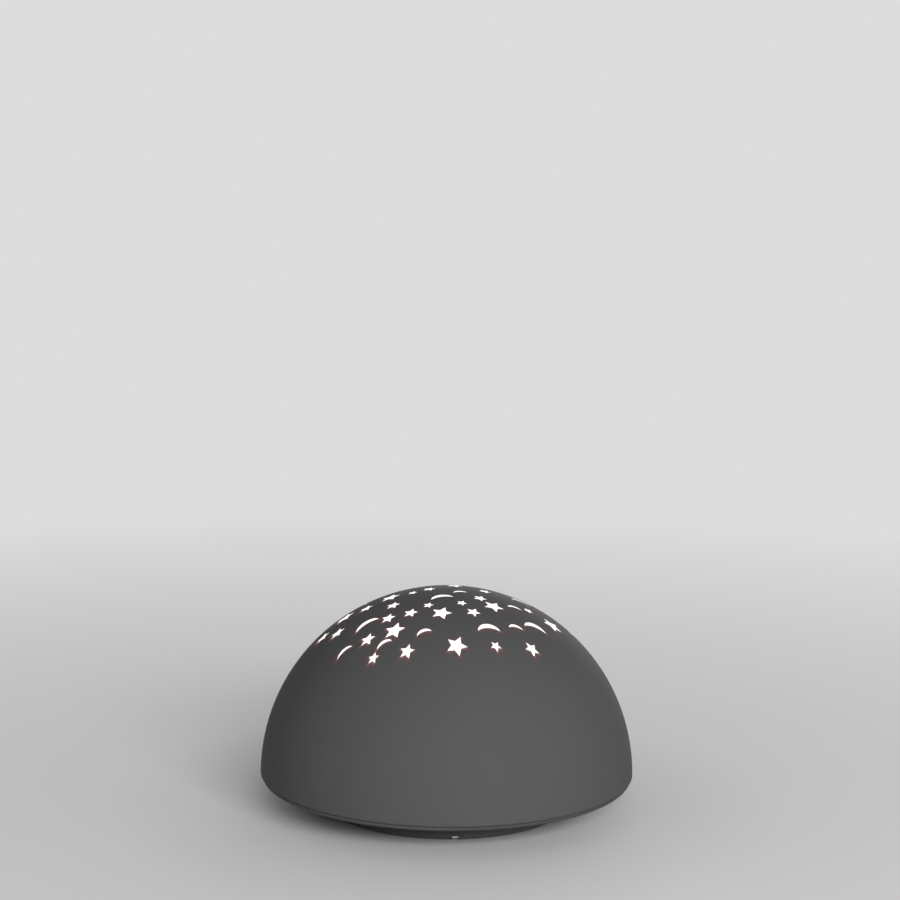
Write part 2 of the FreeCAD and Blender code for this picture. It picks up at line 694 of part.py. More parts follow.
slider_room = [
    centred(
        "slider_slot",
        "knob_length + slide_travel + 2 * knob_gap",
        "knob_width + 2 * knob_gap",
        ("0", "floor_top"),
        0,
        "-control_centre",
    ),
    centred(
        "thumb_recess",
        "thumb_length",
        "thumb_width",
        ("0", "feet_proud + thumb_depth"),
        0,
        "-control_centre",
    ),
]
pad_places = [(f"{a}pad_x", f"{b}pad_y") for a in ("", "-") for b in ("", "-")]
pad_recesses = [
    disc("pad_hole", "pad_radius + part_gap", "feet_proud + pad_recess", x, y, 0) for x, y in pad_places
]
post_pilot = "plate_top - small_length - tip_gap"
board_pilot = "control_top - small_length - tip_gap"
screw_holes = (
    [disc("head_hole", "head_radius + head_gap", "casing_head", x, y, 0) for x, y in casing_places]
    + [disc("casing_hole", "screw_radius + clear_gap", "2 * tower_top", x, y, 0) for x, y in casing_places]
    + [
        disc("post_pilot", "small_radius + screw_gap", "2 * small_length", x, y, post_pilot)
        for x, y in post_places
    ]
    + [
        disc("board_pilot", "small_radius + screw_gap", "2 * small_length", x, y, board_pilot)
        for x, y in control_places
    ]
)
front_notch = centred(
    "front_notch",
    "notch_width",
    "2 * notch_depth",
    ("0", "foot_gap + notch_height"),
    "notch_offset",
    "-sqrt(foot_radius ^ 2 - notch_offset ^ 2)",
)
base_tray = cut(
    "base_tray",
    fuse("tray_solid", dish, bay, insert_block, *dividers, *towers, *plate_posts, *control_posts, *rails),
    *door_opening,
    *hook_rooms,
    *tail_slots,
    *slider_room,
    *pad_recesses,
    *screw_holes,
    rail_slot,
    front_notch,
)

# Battery door with two hooks and a lug for the screw
hooks = []
for middle in ("tab_offset", "-tab_offset"):
    sides = (f"{middle} - tab_width / 2", f"{middle} + tab_width / 2")
    stem_end = "-door_x + tab_stem"
    hooks.append(block("hook_stem", ("-door_x", stem_end), sides, ("door_top - tray_wall / 2", "tab_top")))
    hooks.append(block("hook_tongue", ("-door_x - tab_reach", stem_end), sides, ("tab_under", "tab_top")))
ridges = [
    centred(
        "ridge",
        "ridge_width",
        "ridge_length",
        ("feet_proud - ridge_height", "feet_proud + tray_wall / 2"),
        f"door_x - ridge_inset - {step} * ridge_pitch",
    )
    for step in range(5)
]
battery_door = cut(
    "battery_door",
    fuse(
        "door_solid",
        centred("door_plate", "2 * door_x", "2 * door_y", ("feet_proud", "door_top")),
        block(
            "lug_neck",
            ("door_x - tab_stem", "ear_x"),
            ("-ear_radius", "ear_radius"),
            ("feet_proud", "door_top"),
        ),
        disc("lug", "ear_radius", "door_top - feet_proud", "ear_x", 0, "feet_proud"),
        disc("lug_boss", "ear_boss_radius", "ear_top - feet_proud", "ear_x", 0, "feet_proud"),
        *hooks,
        *ridges,
    ),
    disc("door_head_hole", "head_radius + head_gap", "door_head", "ear_x", 0, 0),
    disc("door_shank_hole", "screw_radius + clear_gap", "2 * ear_top", "ear_x", 0, 0),
)
battery_pad = centred("battery_pad", "pad_length", "pad_width", ("door_top", "door_top + pad_thickness"))


def screw(name, radius, length, head, height):
    """A cross-head screw at the origin: shank up, head under Z = 0."""
    cross_span = f"cross_share * {head}"
    cross_zs = (f"-{height}", f"-{height} + cross_depth")
    return cut(
        name,
        fuse(name + "_solid", disc("shank", radius, length), disc("head", head, height, z=f"-{height}")),
        centred("cross", cross_span, "cross_width", cross_zs),
        centred("cross", "cross_width", cross_span, cross_zs),
    )


UPSIDE_DOWN = Rotation(Vector(1, 0, 0), 180)
LARGE_HEAD = ("head_radius", "head_height")
SMALL_HEAD = ("small_head_radius", "small_head_height")
casing_screw = screw("casing_screw", "screw_radius", "screw_length", *LARGE_HEAD)
small_screw = screw("small_screw", "small_radius", "small_length", *SMALL_HEAD)
housing_screws = group(
    "housing_screws",
    [copy(casing_screw, "casing_screw_copy", x, y, "casing_head") for x, y in casing_places],
)
battery_door_screw = screw("battery_door_screw", "screw_radius", "door_screw_length", *LARGE_HEAD)
place(battery_door_screw, "ear_x", 0, "door_head")
screw_insert = cut(
    "screw_insert",
    disc("insert", "insert_radius", "insert_length", "ear_x", 0, "block_under"),
    disc("insert_bore", "screw_radius + insert_gap", "insert_length", "ear_x", 0, "block_under"),
)
rubber_feet = group(
    "rubber_feet",
    [disc("foot", "pad_radius", "feet_proud + pad_recess", x, y, 0) for x, y in pad_places],
)

# Cells, springs and contacts
HALF_TURN = Rotation(Vector(0, 0, 1), 180)
cell = fuse(
    "cell",
    disc("cell_can", "cell_radius", "cell_length - cell_button", "cell_start", 0, 0, TOWARD_X),
    disc("cell_tip", "cell_button_radius", "cell_length", "cell_start", 0, 0, TOWARD_X),
)
cell_places = [("-cell_pitch", None), ("0", HALF_TURN), ("cell_pitch", None)]
battery_cells = group(
    "battery_cells",
    [copy(cell, "cell_copy", 0, y, "cell_axis", turn) for y, turn in cell_places],
)


def biarc(start, out, end, back):
    """Two arcs from start to end that leave and arrive along the given directions."""
    span = end - start
    along = span.dot(out + back)
    spread = 2 * (1 - out.dot(back))
    reach = (sqrt(along ** 2 + spread * span.dot(span)) - along) / spread
    joint = (start + out * reach + end - back * reach) * 0.5
    arcs = []
    for a, corner, b in ((start, start + out * reach, joint), (joint, end - back * reach, end)):
        chord = (b - a) * 0.5
        lean = chord.dot(corner - a) / (chord.Length * (corner - a).Length)
        middle = (a + b) * 0.5
        arcs.append(Part.Arc(a, middle + (corner - middle) * (lean / (1 + lean)), b).toShape())
    return arcs


def coil(radius, wire, turns, begin, finish):
    """A helix along X, in quarter turns, as one round wire."""
    rise = (finish - begin) / turns
    steps = round(4 * turns)
    points = []
    ways = []
    for step in range(steps + 1):
        angle = pi / 2 * step
        points.append(Vector(begin + rise * step / 4, radius * cos(angle), radius * sin(angle)))
        way = Vector(rise / (2 * pi), -radius * sin(angle), radius * cos(angle))
        ways.append(way.normalize())
    edges = []
    for step in range(steps):
        edges += biarc(points[step], ways[step], points[step + 1], ways[step + 1])
    return pipe(Part.Wire(edges), wire)


def pipe(path, radius):
    """A round wire swept along a path."""
    first = path.Edges[0]
    start = first.valueAt(first.FirstParameter)
    way = first.tangentAt(first.FirstParameter)
    ring = Part.Wire(Part.makeCircle(radius, start, way))
    return path.makePipeShell([ring], True, False)


coil_turns = now["spring_turns"]
coil_begin = now["contact_thickness"] - now["bay_x"] + now["spring_wire"]
coil_end = now["cell_start"] - now["spring_wire"]
spring = doc.addObject("Part::Feature", "spring")
coil_radius = now["spring_radius"] - now["spring_wire"]
spring.Shape = coil(coil_radius, now["spring_wire"], coil_turns, coil_begin, coil_end)
battery_springs = group(
    "battery_springs",
    [copy(spring, "spring_copy", 0, y, "cell_axis", turn) for y, turn in cell_places],
)
coil_pitch = (coil_end - coil_begin) / coil_turns
samples = [
    (coil_begin + coil_pitch * step / 48, 2 * pi * step / 48) for step in range(round(48 * coil_turns) + 1)
]
coil_gap = min(
    hypot(b[0] - a[0], 2 * coil_radius * sin((b[1] - a[1]) / 2))
    for i, a in enumerate(samples)
    for b in samples[i + 24:]
) - 2 * now["spring_wire"]
print(f"least gap between coils of a spring: {coil_gap:.2f} mm")

contact_zs = ("cell_axis - contact_size / 2", "cell_axis + contact_size / 2")
ends = {"right": ("bay_x - contact_thickness", "bay_x"), "left": ("-bay_x", "contact_thickness - bay_x")}
tails = {
    "right": ("bay_x - contact_thickness", "tail_end"),
    "left": ("-tail_end", "contact_thickness - bay_x"),
}
tail_zs = ("tail_axis - contact_thickness / 2", "tail_axis + contact_thickness / 2")


def single_contact(end, y):
    return fuse(
        "single_contact",
        block("contact", ends[end], (f"{y} - contact_size / 2", f"{y} + contact_size / 2"), contact_zs),
        block("tail", tails[end], (f"{y} - contact_tail / 2", f"{y} + contact_tail / 2"), tail_zs),
    )


left_ys = ("-cell_pitch - contact_size / 2", "contact_size / 2")
right_ys = ("-contact_size / 2", "cell_pitch + contact_size / 2")
battery_contacts = group("battery_contacts", [
    single_contact("right", "-cell_pitch"),
    single_contact("left", "cell_pitch"),
    block("double_contact", ends["left"], left_ys, contact_zs),
    block("double_contact", ends["right"], right_ys, contact_zs),
])

# Reflector plate, light board and the six lights
cable_y = "-control_rear - connector_width / 2 - connector_margin"
through_plate = ("plate_under - plate_thickness", "plate_top + plate_thickness")
light_screw_places = [("light_screw", 0), ("-light_screw", 0)]
reflector_plate = cut(
    "reflector_plate",
    fuse(
        "plate_solid",
        disc("plate", "plate_radius", "plate_thickness", 0, 0, "plate_under"),
        cut(
            "collar",
            disc(
                "collar_outside",
                "collar_radius",
                "plate_thickness / 2 + collar_height",
                z="plate_top - plate_thickness / 2",
            ),
            disc(
                "collar_inside",
                "collar_radius - collar_wall",
                "plate_thickness + collar_height",
                z="plate_under",
            ),
        ),
    ),
    centred("cable_slot", "cable_slot_length", "cable_slot_width", through_plate, 0, cable_y),
    block(
        "rail_notch",
        ("-rail_x - rail_width - plate_side_gap", "rail_x + rail_width + plate_side_gap"),
        ("rail_front - plate_side_gap", "dome_radius"),
        through_plate,
    ),
    *[
        disc("plate_hole", "small_radius + clear_gap", "3 * plate_thickness", x, y, through_plate[0])
        for x, y in post_places
    ],
    *[
        disc("light_pilot", "small_radius + screw_gap", "3 * plate_thickness", x, y, through_plate[0])
        for x, y in light_screw_places
    ],
)
reflector_screws = group(
    "reflector_screws",
    [copy(small_screw, "plate_screw", x, y, "plate_top", UPSIDE_DOWN) for x, y in post_places],
)
led_board = cut(
    "led_board",
    disc("round_board", "light_board_radius", "board_thickness", 0, 0, "plate_top"),
    *[
        disc("light_hole", "small_radius + clear_gap", "3 * board_thickness", x, y, "plate_under")
        for x, y in light_screw_places
    ],
)
short_screw = screw("short_screw", "small_radius", "light_screw_length", *SMALL_HEAD)
led_board_screws = group(
    "led_board_screws",
    [copy(short_screw, "light_screw", x, y, "light_top", UPSIDE_DOWN) for x, y in light_screw_places],
)
led = fuse(
    "led",
    disc("led_flange", "led_flange", "led_flange_height"),
    disc("led_body", "led_radius", "led_flange_height + led_body"),
    ball("led_lens", "led_radius", z="led_flange_height + led_body"),
)
led_under = centred("led_under", "4 * led_radius", "4 * led_radius", ("-4 * led_radius", "0"))
led_blunt = cut("led_blunt", led, led_under)


def lights(name, angles):
    places = around(angles, "led_circle")
    return group(name, [copy(led_blunt, "light", x, y, "light_top") for x, y in places])


red_leds = lights("red_leds", [30, 210])
green_leds = lights("green_leds", [90, 270])
blue_leds = lights("blue_leds", [150, 330])


def resistors(name, y, z):
    zs = (z, f"{z} + resistor_height")
    return group(name, [
        centred("resistor", "resistor_width", "resistor_length", zs, f"{step} * resistor_pitch", y)
        for step in (-1, 0, 1)
    ])


led_resistors = resistors("led_resistors", "light_board_radius - resistor_length", "light_top")

# Control board, slide switch and the parts on the board
control_board = cut(
    "control_board",
    centred(
        "control_blank",
        "control_length",
        "control_width",
        ("control_under", "control_top"),
        0,
        "-control_centre",
    ),
    *[
        disc("board_hole", "small_radius + clear_gap", "control_top", x, y, "floor_top")
        for x, y in control_places
    ],
)
control_board_screws = group(
    "control_board_screws",
    [copy(small_screw, "board_screw", x, y, "control_top", UPSIDE_DOWN) for x, y in control_places],
)
switch_zs = ("switch_under", "switch_under + switch_height")
power_switch_body = cut(
    "power_switch_body",
    centred("switch_case", "switch_length", "switch_width", switch_zs, 0, "-control_centre"),
    centred(
        "lever_slot",
        "lever_length + slide_travel + 2 * knob_gap",
        "lever_width + 2 * part_gap",
        ("floor_top", "switch_under + lever_height + part_gap"),
        0,
        "-control_centre",
    ),
)
knob_under = "feet_proud + knob_recess"
lever_top = "switch_under + lever_height"
power_switch_slider = fuse(
    "power_switch_slider",
    centred("knob", "knob_length", "knob_width", (knob_under, "floor_top"), "knob_x", "-control_centre"),
    centred("lever", "lever_length", "lever_width", (knob_under, lever_top), "knob_x", "-control_centre"),
)
controller_chip = centred(
    "controller_chip",
    "chip_length",
    "chip_width",
    ("control_top", "control_top + chip_height"),
    "-chip_x",
    "-control_centre",
)
capacitor = disc(
    "capacitor",
    "capacitor_radius",
    "capacitor_height",
    "capacitor_x",
    "-control_front + capacitor_radius + part_margin",
    "control_top",
)
resistor_y = "-control_front + resistor_length / 2 + part_margin"
board_resistors = resistors("board_resistors", resistor_y, "control_top")
cable_connector = centred(
    "cable_connector",
    "connector_length",
    "connector_width",
    ("control_top", "control_top + connector_height"),
    0,
    cable_y,
)

# Mode button, its upright board and its push switch
button_board = block(
    "button_board",
    ("-upright_width / 2", "upright_width / 2"),
    ("upright_y", "tact_y"),
    ("deck_top", "deck_top + upright_height"),
)
tact_zs = ("button_height - tact_size / 2", "button_height + tact_size / 2")
plunger_hole = disc(
    "plunger_hole",
    "plunger_radius + part_gap",
    "tact_height",
    0,
    "tact_top - plunger_depth - button_travel",
    "button_height",
    TOWARD_Y,
)
button_switch_body = cut(
    "button_switch_body",
    block("tact_case", ("-tact_size / 2", "tact_size / 2"), ("tact_y", "tact_top"), tact_zs),
    plunger_hole,
)
button_switch_plunger = disc(
    "button_switch_plunger",
    "plunger_radius",
    "plunger_reach + plunger_depth",
    0,
    "tact_top - plunger_depth",
    "button_height",
    TOWARD_Y,
)
stem_reach = "stem_length + flange_thickness / 2"
mode_button = fuse(
    "mode_button",
    common(
        "button_cap",
        disc("cap_blank", "button_radius", "dome_radius", 0, "flange_y", "button_height", TOWARD_Y),
        ball("crown", "dome_radius + button_proud", z="dome_base"),
    ),
    disc("flange", "flange_radius", "flange_thickness", 0, "flange_y", "button_height", TOWARD_Y),
    disc("stem", "stem_radius", stem_reach, 0, "stem_y", "button_height", TOWARD_Y),
)


def route(corners, bend):
    """A path through corners, each rounded by an arc."""
    edges = []
    last = corners[0]
    for before, corner, after in zip(corners, corners[1:], corners[2:]):
        back = (before - corner).normalize()
        ahead = (after - corner).normalize()
        trim = bend / tan(back.getAngle(ahead) / 2)
        start = corner + back * trim
        end = corner + ahead * trim
        halfway = (back + ahead).normalize()
        middle = corner + halfway * (bend / sin(back.getAngle(ahead) / 2) - bend)
        edges += [Part.LineSegment(last, start).toShape(), Part.Arc(start, middle, end).toShape()]
        last = end
    edges.append(Part.LineSegment(last, corners[-1]).toShape())
    return Part.Wire(edges)


def wires(name, routes):
    """Wires through the given corners, as one group of solids."""
    item = doc.addObject("Part::Feature", name)
    paths = [route([Vector(*corner) for corner in corners], now["wire_bend"]) for corners in routes]
    tubes = [pipe(path, now["wire_radius"]) for path in paths]
    item.Shape = Part.makeCompound(tubes) if len(tubes) > 1 else tubes[0]
    return item


tail_end = now["tail_end"]
board_top = now["control_top"]
lead_z = now["tail_axis"]
lead_y = -now["control_rear"] - now["lead_depth"]
lead_x = now["control_length"] / 2 - now["lead_inset"]
pitch = now["cell_pitch"]
lead_run = now["lead_run"]
red_battery_lead = wires("red_battery_lead", [[
    (tail_end, -pitch, lead_z), (lead_run, -pitch, lead_z), (lead_run, lead_y, lead_z),
    (lead_x, lead_y, lead_z), (lead_x, lead_y, board_top),
]])
black_battery_lead = wires("black_battery_lead", [[
    (-tail_end, pitch, lead_z), (-lead_run, pitch, lead_z), (-lead_run, lead_y, lead_z),
    (-lead_x, lead_y, lead_z), (-lead_x, lead_y, board_top),
]])
cable_start = number_of(cable_y)
cable_top = now["plate_top"] + now["cable_rise"]
cable_bottom = board_top + now["connector_height"]
cable_end = -now["led_circle"] - now["led_flange"] - now["cable_landing"]
led_cable = wires("led_cable", [
    [
        (x, cable_start, cable_bottom), (x, cable_start, cable_top),
        (x, cable_end, cable_top), (x, cable_end, now["light_top"]),
    ]
    for x in [now["wire_pitch"] * step for step in (-1.5, -0.5, 0.5, 1.5)]
])
run = now["side_run"]
turn_y = now["turn_y"]
front_y = -now["control_front"] + now["wire_depth"]
start_x = now["wire_start"]
step_z = now["wire_step"]
button_wires = wires("button_wires", [
    [
        (start_x, now["upright_y"], z), (start_x, turn_y, z), (run, turn_y, z),
        (run, lead_y, z), (x, lead_y, z), (x, front_y, z), (x, front_y, board_top),
    ]
    for z, x in ((lead_z + step_z, lead_x), (lead_z + 2 * step_z, lead_x - now["wire_pitch"]))
])

NODES = [
    "dome_shell", "window_liner", "base_tray", "battery_door", "battery_door_screw", "screw_insert",
    "battery_pad", "housing_screws", "rubber_feet", "reflector_plate", "reflector_screws", "led_board",
    "led_board_screws",
    "red_leds", "green_leds", "blue_leds", "led_resistors", "control_board", "control_board_screws",
    "power_switch_body", "power_switch_slider", "controller_chip", "capacitor", "board_resistors",
    "cable_connector", "button_board", "button_switch_body", "button_switch_plunger", "mode_button",
    "battery_cells", "battery_springs", "battery_contacts", "red_battery_lead", "black_battery_lead",
    "led_cable", "button_wires",
]

doc.recompute()
for item in doc.Objects:
    if {"Invalid", "Error"} & set(item.State):
        raise RuntimeError(f"{item.Name}: {item.State}")
    if hasattr(item, "Shape") and item.isDerivedFrom("Part::Feature"):
        if item.Shape.isNull() or not item.Shape.isValid():
            raise RuntimeError(f"{item.Name} has no valid shape")

os.makedirs("parts", exist_ok=True)
for name in NODES:
    item = doc.getObject(name)
    item.Label = name
    item.Shape.exportStep(f"parts/{name}.step")
    print(f"{name}: {len(item.Shape.Solids)} solids, {item.Shape.Volume:.1f} mm3")
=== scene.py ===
import bpy
import math
import numpy as np
from mathutils import Matrix, Vector


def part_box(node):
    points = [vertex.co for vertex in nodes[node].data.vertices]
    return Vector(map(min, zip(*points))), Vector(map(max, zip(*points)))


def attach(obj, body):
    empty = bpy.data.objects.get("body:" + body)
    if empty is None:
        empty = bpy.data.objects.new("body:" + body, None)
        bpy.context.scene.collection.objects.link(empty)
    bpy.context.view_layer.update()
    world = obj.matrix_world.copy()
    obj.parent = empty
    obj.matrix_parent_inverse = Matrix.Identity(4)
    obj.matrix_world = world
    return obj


# Star night light projector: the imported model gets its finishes, its glow and its small moulded marks.
# Metres, Z up, the front at -Y, the table at Z = 0.

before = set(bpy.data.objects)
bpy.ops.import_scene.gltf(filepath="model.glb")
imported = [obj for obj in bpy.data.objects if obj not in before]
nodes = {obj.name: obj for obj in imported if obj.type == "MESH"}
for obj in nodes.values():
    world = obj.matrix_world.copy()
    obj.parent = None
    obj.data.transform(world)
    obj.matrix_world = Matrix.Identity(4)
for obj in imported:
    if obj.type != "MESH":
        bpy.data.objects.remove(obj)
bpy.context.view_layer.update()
print("frame loaded:", len(nodes), "nodes")

domeLow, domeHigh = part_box("dome_shell")
dome = {
    "radius": (domeHigh[0] - domeLow[0]) / 2,
    "colour": (0.100, 0.100, 0.1005),
    "roughness": 0.68,
    "buttonRoughness": 0.5,
    "glow": 1.2,              # strength of the light on the cut-outs' walls
    "glowColour": (1.0, 0.985, 0.98),
    "glowDepth": 0.00005,     # only those walls and the inside lie this far under the outer skin
    "glowRise": 0.035,        # and this high over the dome's middle
}
dome["centreZ"] = domeHigh[2] - dome["radius"]


# Shader maths

class Value:
    # a socket that takes part in sums: each operator adds its Math node
    def __init__(self, maker, socket):
        self.maker = maker
        self.socket = socket

    def join(self, operation, *others):
        return self.maker.node("ShaderNodeMath", {"operation": operation}, [self, *others])

    def __add__(self, other):
        return self.join("ADD", other)

    def __sub__(self, other):
        return self.join("SUBTRACT", other)

    def __rsub__(self, other):
        return self.maker.node("ShaderNodeMath", {"operation": "SUBTRACT"}, [other, self])

    def __mul__(self, other):
        return self.join("MULTIPLY", other)

    def __truediv__(self, other):
        return self.join("DIVIDE", other)

    def __pow__(self, other):
        return self.join("POWER", other)

    def __gt__(self, other):
        return self.join("GREATER_THAN", other)

    def __lt__(self, other):
        return self.join("LESS_THAN", other)

    __radd__ = __add__
    __rmul__ = __mul__

    def least(self, other):
        return self.join("MINIMUM", other)

    def most(self, other):
        return self.join("MAXIMUM", other)

    def size(self):
        return self.join("ABSOLUTE")

    def root(self):
        return self.join("SQRT")

    def floor(self):
        return self.join("FLOOR")

    def share(self):
        return self.join("FRACT")

    def clipped(self):
        return self.least(1.0).most(0.0)


class Tree:
    # a node tree with one method that adds any node and wires it
    def __init__(self, tree):
        self.tree = tree

    def node(self, kind, settings=None, values=(), output=0):
        made = self.tree.nodes.new(kind)
        for key, value in (settings or {}).items():
            setattr(made, key, value)
        pairs = values.items() if isinstance(values, dict) else enumerate(values)
        for key, value in pairs:
            self.feed(made.inputs[key], value)
        return Value(self, made.outputs[output])

    def feed(self, socket, value):
        if isinstance(value, Value):
            self.tree.links.new(value.socket, socket)
        elif isinstance(value, tuple) and len(value) == 3 and socket.type == "RGBA":
            socket.default_value = (*value, 1)
        else:
            socket.default_value = value

    def seenRays(self):
        # 1 for what the camera sees, straight, in a gloss or through glass
        camera, glossy, through = [
            self.node("ShaderNodeLightPath", output=name)
            for name in ("Is Camera Ray", "Is Glossy Ray", "Is Transmission Ray")
        ]
        return camera.most(glossy).most(through)


class Finish(Tree):
    # a material whose constants sit on the shader and whose patterns are linked to it
    def __init__(self, name, colour, roughness, constants=None):
        self.material = bpy.data.materials.new(name)
        self.material.use_nodes = True
        super().__init__(self.material.node_tree)
        self.shader = self.tree.nodes["Principled BSDF"]
        self.set({"Base Color": colour, "Roughness": roughness, **(constants or {})})
        self.place = self.node("ShaderNodeTexCoord", output="Object")
        self.x, self.y, self.z = [
            self.node("ShaderNodeSeparateXYZ", {}, [self.place], output) for output in range(3)
        ]

    def set(self, values):
        for name, value in values.items():
            self.feed(self.shader.inputs[name], value)

    def noise(self, size, detail=3.0, stretch=(1, 1, 1)):
        # noise with blobs about size metres wide, from 0 to 1
        spot = self.node("ShaderNodeVectorMath", {"operation": "MULTIPLY"}, [self.place, stretch])
        return self.node("ShaderNodeTexNoise", {}, {"Vector": spot, "Scale": 1 / size, "Detail": detail})

    def cells(self, size):
        # distance from the nearest of random points about size metres apart, as a share of size
        return self.node("ShaderNodeTexVoronoi", {"feature": "F1"}, {"Vector": self.place, "Scale": 1 / size})

    def blend(self, amount, first, second):
        # mixes two colours, plain or wired, by amount
        return self.node("ShaderNodeMix", {"data_type": "RGBA"}, {0: amount, 6: first, 7: second}, output=2)

    def bump(self, height, depth):
        self.set({"Normal": self.node("ShaderNodeBump", {}, {"Height": height, "Distance": depth})})

    def on(self, *names):
        for name in names:
            slots = nodes[name].data.materials
            slots.clear()
            slots.append(self.material)


def shade(colour, factor):
    return tuple(min(1.0, c * factor) for c in colour)


plastic = {
    "shader": {"IOR": 1.46, "Specular IOR Level": 0.05},
    "cloud": 0.022,           # width of a flow cloud
    "speck": 0.0006,
    "rub": 0.009,             # length of a hairline rub, nine times its height
    "rubStretch": (1, 1, 9),
    "rubbed": 0.62,           # noise over this is a rub
    "dustApart": 0.0045,      # between specks of dust
    "dustSize": 0.028,        # a speck's radius as a share of that
    "dark": 0.94,
    "light": 1.06,
    "dusty": 1.9,
    "grain": 0.00035,
    "grainDepth": 0.000010,
}


def mouldedPlastic(name, colour, roughness, grain=plastic["grain"], depth=plastic["grainDepth"]):
    # satin moulded plastic: fine grain, slow flow clouds in tone, hairline rubs and a trace of dust
    finish = Finish(name, colour, roughness, plastic["shader"])
    clouds = finish.noise(plastic["cloud"], 4.0)
    specks = finish.noise(plastic["speck"], 2.0)
    rubs = finish.noise(plastic["rub"], 2.0, stretch=plastic["rubStretch"]) > plastic["rubbed"]
    dust = finish.cells(plastic["dustApart"]) < plastic["dustSize"]
    tone = (clouds * 0.6 + specks * 0.4).clipped()
    clean = finish.blend(tone, shade(colour, plastic["dark"]), shade(colour, plastic["light"]))
    finish.set({"Base Color": finish.blend(dust * 0.35, clean, shade(colour, plastic["dusty"]))})
    finish.set({"Roughness": (clouds * 0.1 + rubs * 0.04 + dust * 0.2 + (roughness - 0.05)).clipped()})
    finish.bump(finish.noise(grain, 2.0) + dust * 0.6, depth)
    return finish


# Dome, its lit cut-outs and the liner
domeFinish = mouldedPlastic("domePlastic", dome["colour"], dome["roughness"])
rise = domeFinish.z - dome["centreZ"]
fromCentre = (domeFinish.x * domeFinish.x + domeFinish.y * domeFinish.y + rise * rise).root()
lit = (fromCentre < dome["radius"] - dome["glowDepth"]) * (rise > dome["glowRise"])
domeFinish.set({
    "Emission Color": domeFinish.blend(lit, (0, 0, 0), dome["glowColour"]),
    "Emission Strength": dome["glow"],
})
domeFinish.on("dome_shell")

buttonFinish = mouldedPlastic("buttonPlastic", dome["colour"], dome["buttonRoughness"])
buttonFinish.on("mode_button")

liner = {
    "colour": (0.9, 0.9, 0.92),
    "roughness": 0.35,
    "glow": 1.35,
    "dim": (0.97, 0.96, 1.0),
    "bright": (1.0, 1.0, 1.0),
    "clouded": (0.86, 0.86, 0.88),
    "clear": (0.94, 0.94, 0.95),
    "cloud": 0.004,
    "grain": 0.0008,
    "grainDepth": 0.00002,
}
linerFinish = Finish(
    "litLiner", liner["colour"], liner["roughness"], {"IOR": 1.49, "Emission Strength": liner["glow"]}
)
linerTone = linerFinish.noise(liner["cloud"])
linerFinish.set({"Emission Color": linerFinish.blend(linerTone, liner["dim"], liner["bright"])})
linerFinish.set({"Base Color": linerFinish.blend(linerTone, liner["clouded"], liner["clear"])})
linerFinish.bump(linerFinish.noise(liner["grain"], 2.0), liner["grainDepth"])
linerFinish.on("window_liner")
print("dome and liner finished")

# Red light that shows through the thin plastic beside each cut-out
fringe = {
    "starSizes": {"L": 0.0034, "S": 0.0024, "s": 0.0018},    # from the middle to a tip
    "moonSizes": {"M": 0.0073, "m": 0.0047},                 # from horn to horn
    "waist": 0.48,            # a star's inner corners over its tips
    "moonRise": 0.41,         # a crescent's height over its span
    "moonThickness": 0.25,    # its middle over its span
    "starTurn": -20,
    "moonTurn": 16,
    "reach": 0.0021,          # width of the band
    "rings": 8,
    "sidePoints": 6,          # along each side of a star
    "arcPoints": 22,          # along each arc of a crescent
    "hornPoints": 9,          # round each horn, with the arcs' two
    "fullAt": 0.036,          # the glow is weaker nearer the axis than this
    "least": 0.25,            # but no weaker than this
    "upper": 0.55,            # the glow's strength on the side of the pole
    "fallNear": 0.00032,      # the glow fades over this length towards the pole
    "fallFar": 0.00075,       # and over this one away from it, where the edge is thin
    "over": 0.000015,         # band over the dome's skin
    "edgeColour": (0.36, 0.22, 0.21),
    "farColour": (0.15, 0.038, 0.030),
}
# kind, degrees from the pole, degrees round from the front towards +X
frontCutouts = [
    ("S", 37.5, -20), ("s", 41.5, -35), ("m", 41.5, -54), ("S", 42, -84), ("S", 37.5, -73),
    ("S", 35.5, -45.5), ("m", 35.5, -34.5), ("L", 30, -33.5), ("m", 29, -15), ("M", 30, -58.5),
    ("S", 25.5, -46.5), ("L", 33.5, -91), ("S", 21, -33), ("L", 19.5, -6), ("S", 19.5, -60.5),
    ("S", 26, -84), ("s", 15.5, -23), ("L", 18, -89), ("s", 11, -84), ("M", 8.5, -15),
    ("S", 6, -100), ("s", 28, -106), ("M", 27, -118.5), ("S", 20, -122), ("S", 13, -153),
    ("L", 34.5, 4.5), ("s", 35.5, 25), ("S", 38.5, 44), ("M", 27.5, 26.5), ("m", 29, 46),
    ("M", 31, 61), ("L", 34, 80), ("L", 18, 50), ("S", 19.5, 23), ("m", 21.5, 71),
    ("s", 25.5, 80), ("s", 13.5, 17.5), ("S", 12, 53), ("M", 23.5, 102), ("m", 4.5, 49),
    ("S", 11.5, 102), ("L", 7.5, 165), ("M", 16.5, 130), ("S", 33, 106), ("m", 27.5, 114),
    ("m", 13, 152),
]
backCutouts = [
    ("S", 20, -157), ("L", 20, 174), ("S", 26, 135), ("M", 28, -153), ("m", 29, -134),
    ("m", 29, 166), ("L", 30, 147), ("L", 35, -175), ("s", 36, -155), ("S", 36, 135),
    ("S", 38, 161), ("S", 39, -136), ("s", 42, 98), ("M", 41, 124), ("s", 42, 145),
]


def starEdge(tip):
    # straight sides between ten corners, tips and waists in turn; each point is pushed out along its own ray
    corner = np.arange(11)
    reach = np.where(corner % 2 == 0, tip, tip * fringe["waist"])
    angle = math.pi / 2 + math.pi / 5 * corner
    corners = np.stack([reach * np.cos(angle), reach * np.sin(angle)], 1)
    share = np.linspace(0, 1, fringe["sidePoints"], endpoint=False)[None, :, None]
    points = (corners[:-1, None] * (1 - share) + corners[1:, None] * share).reshape(-1, 2)
    return points, points / np.linalg.norm(points, axis=1, keepdims=True)


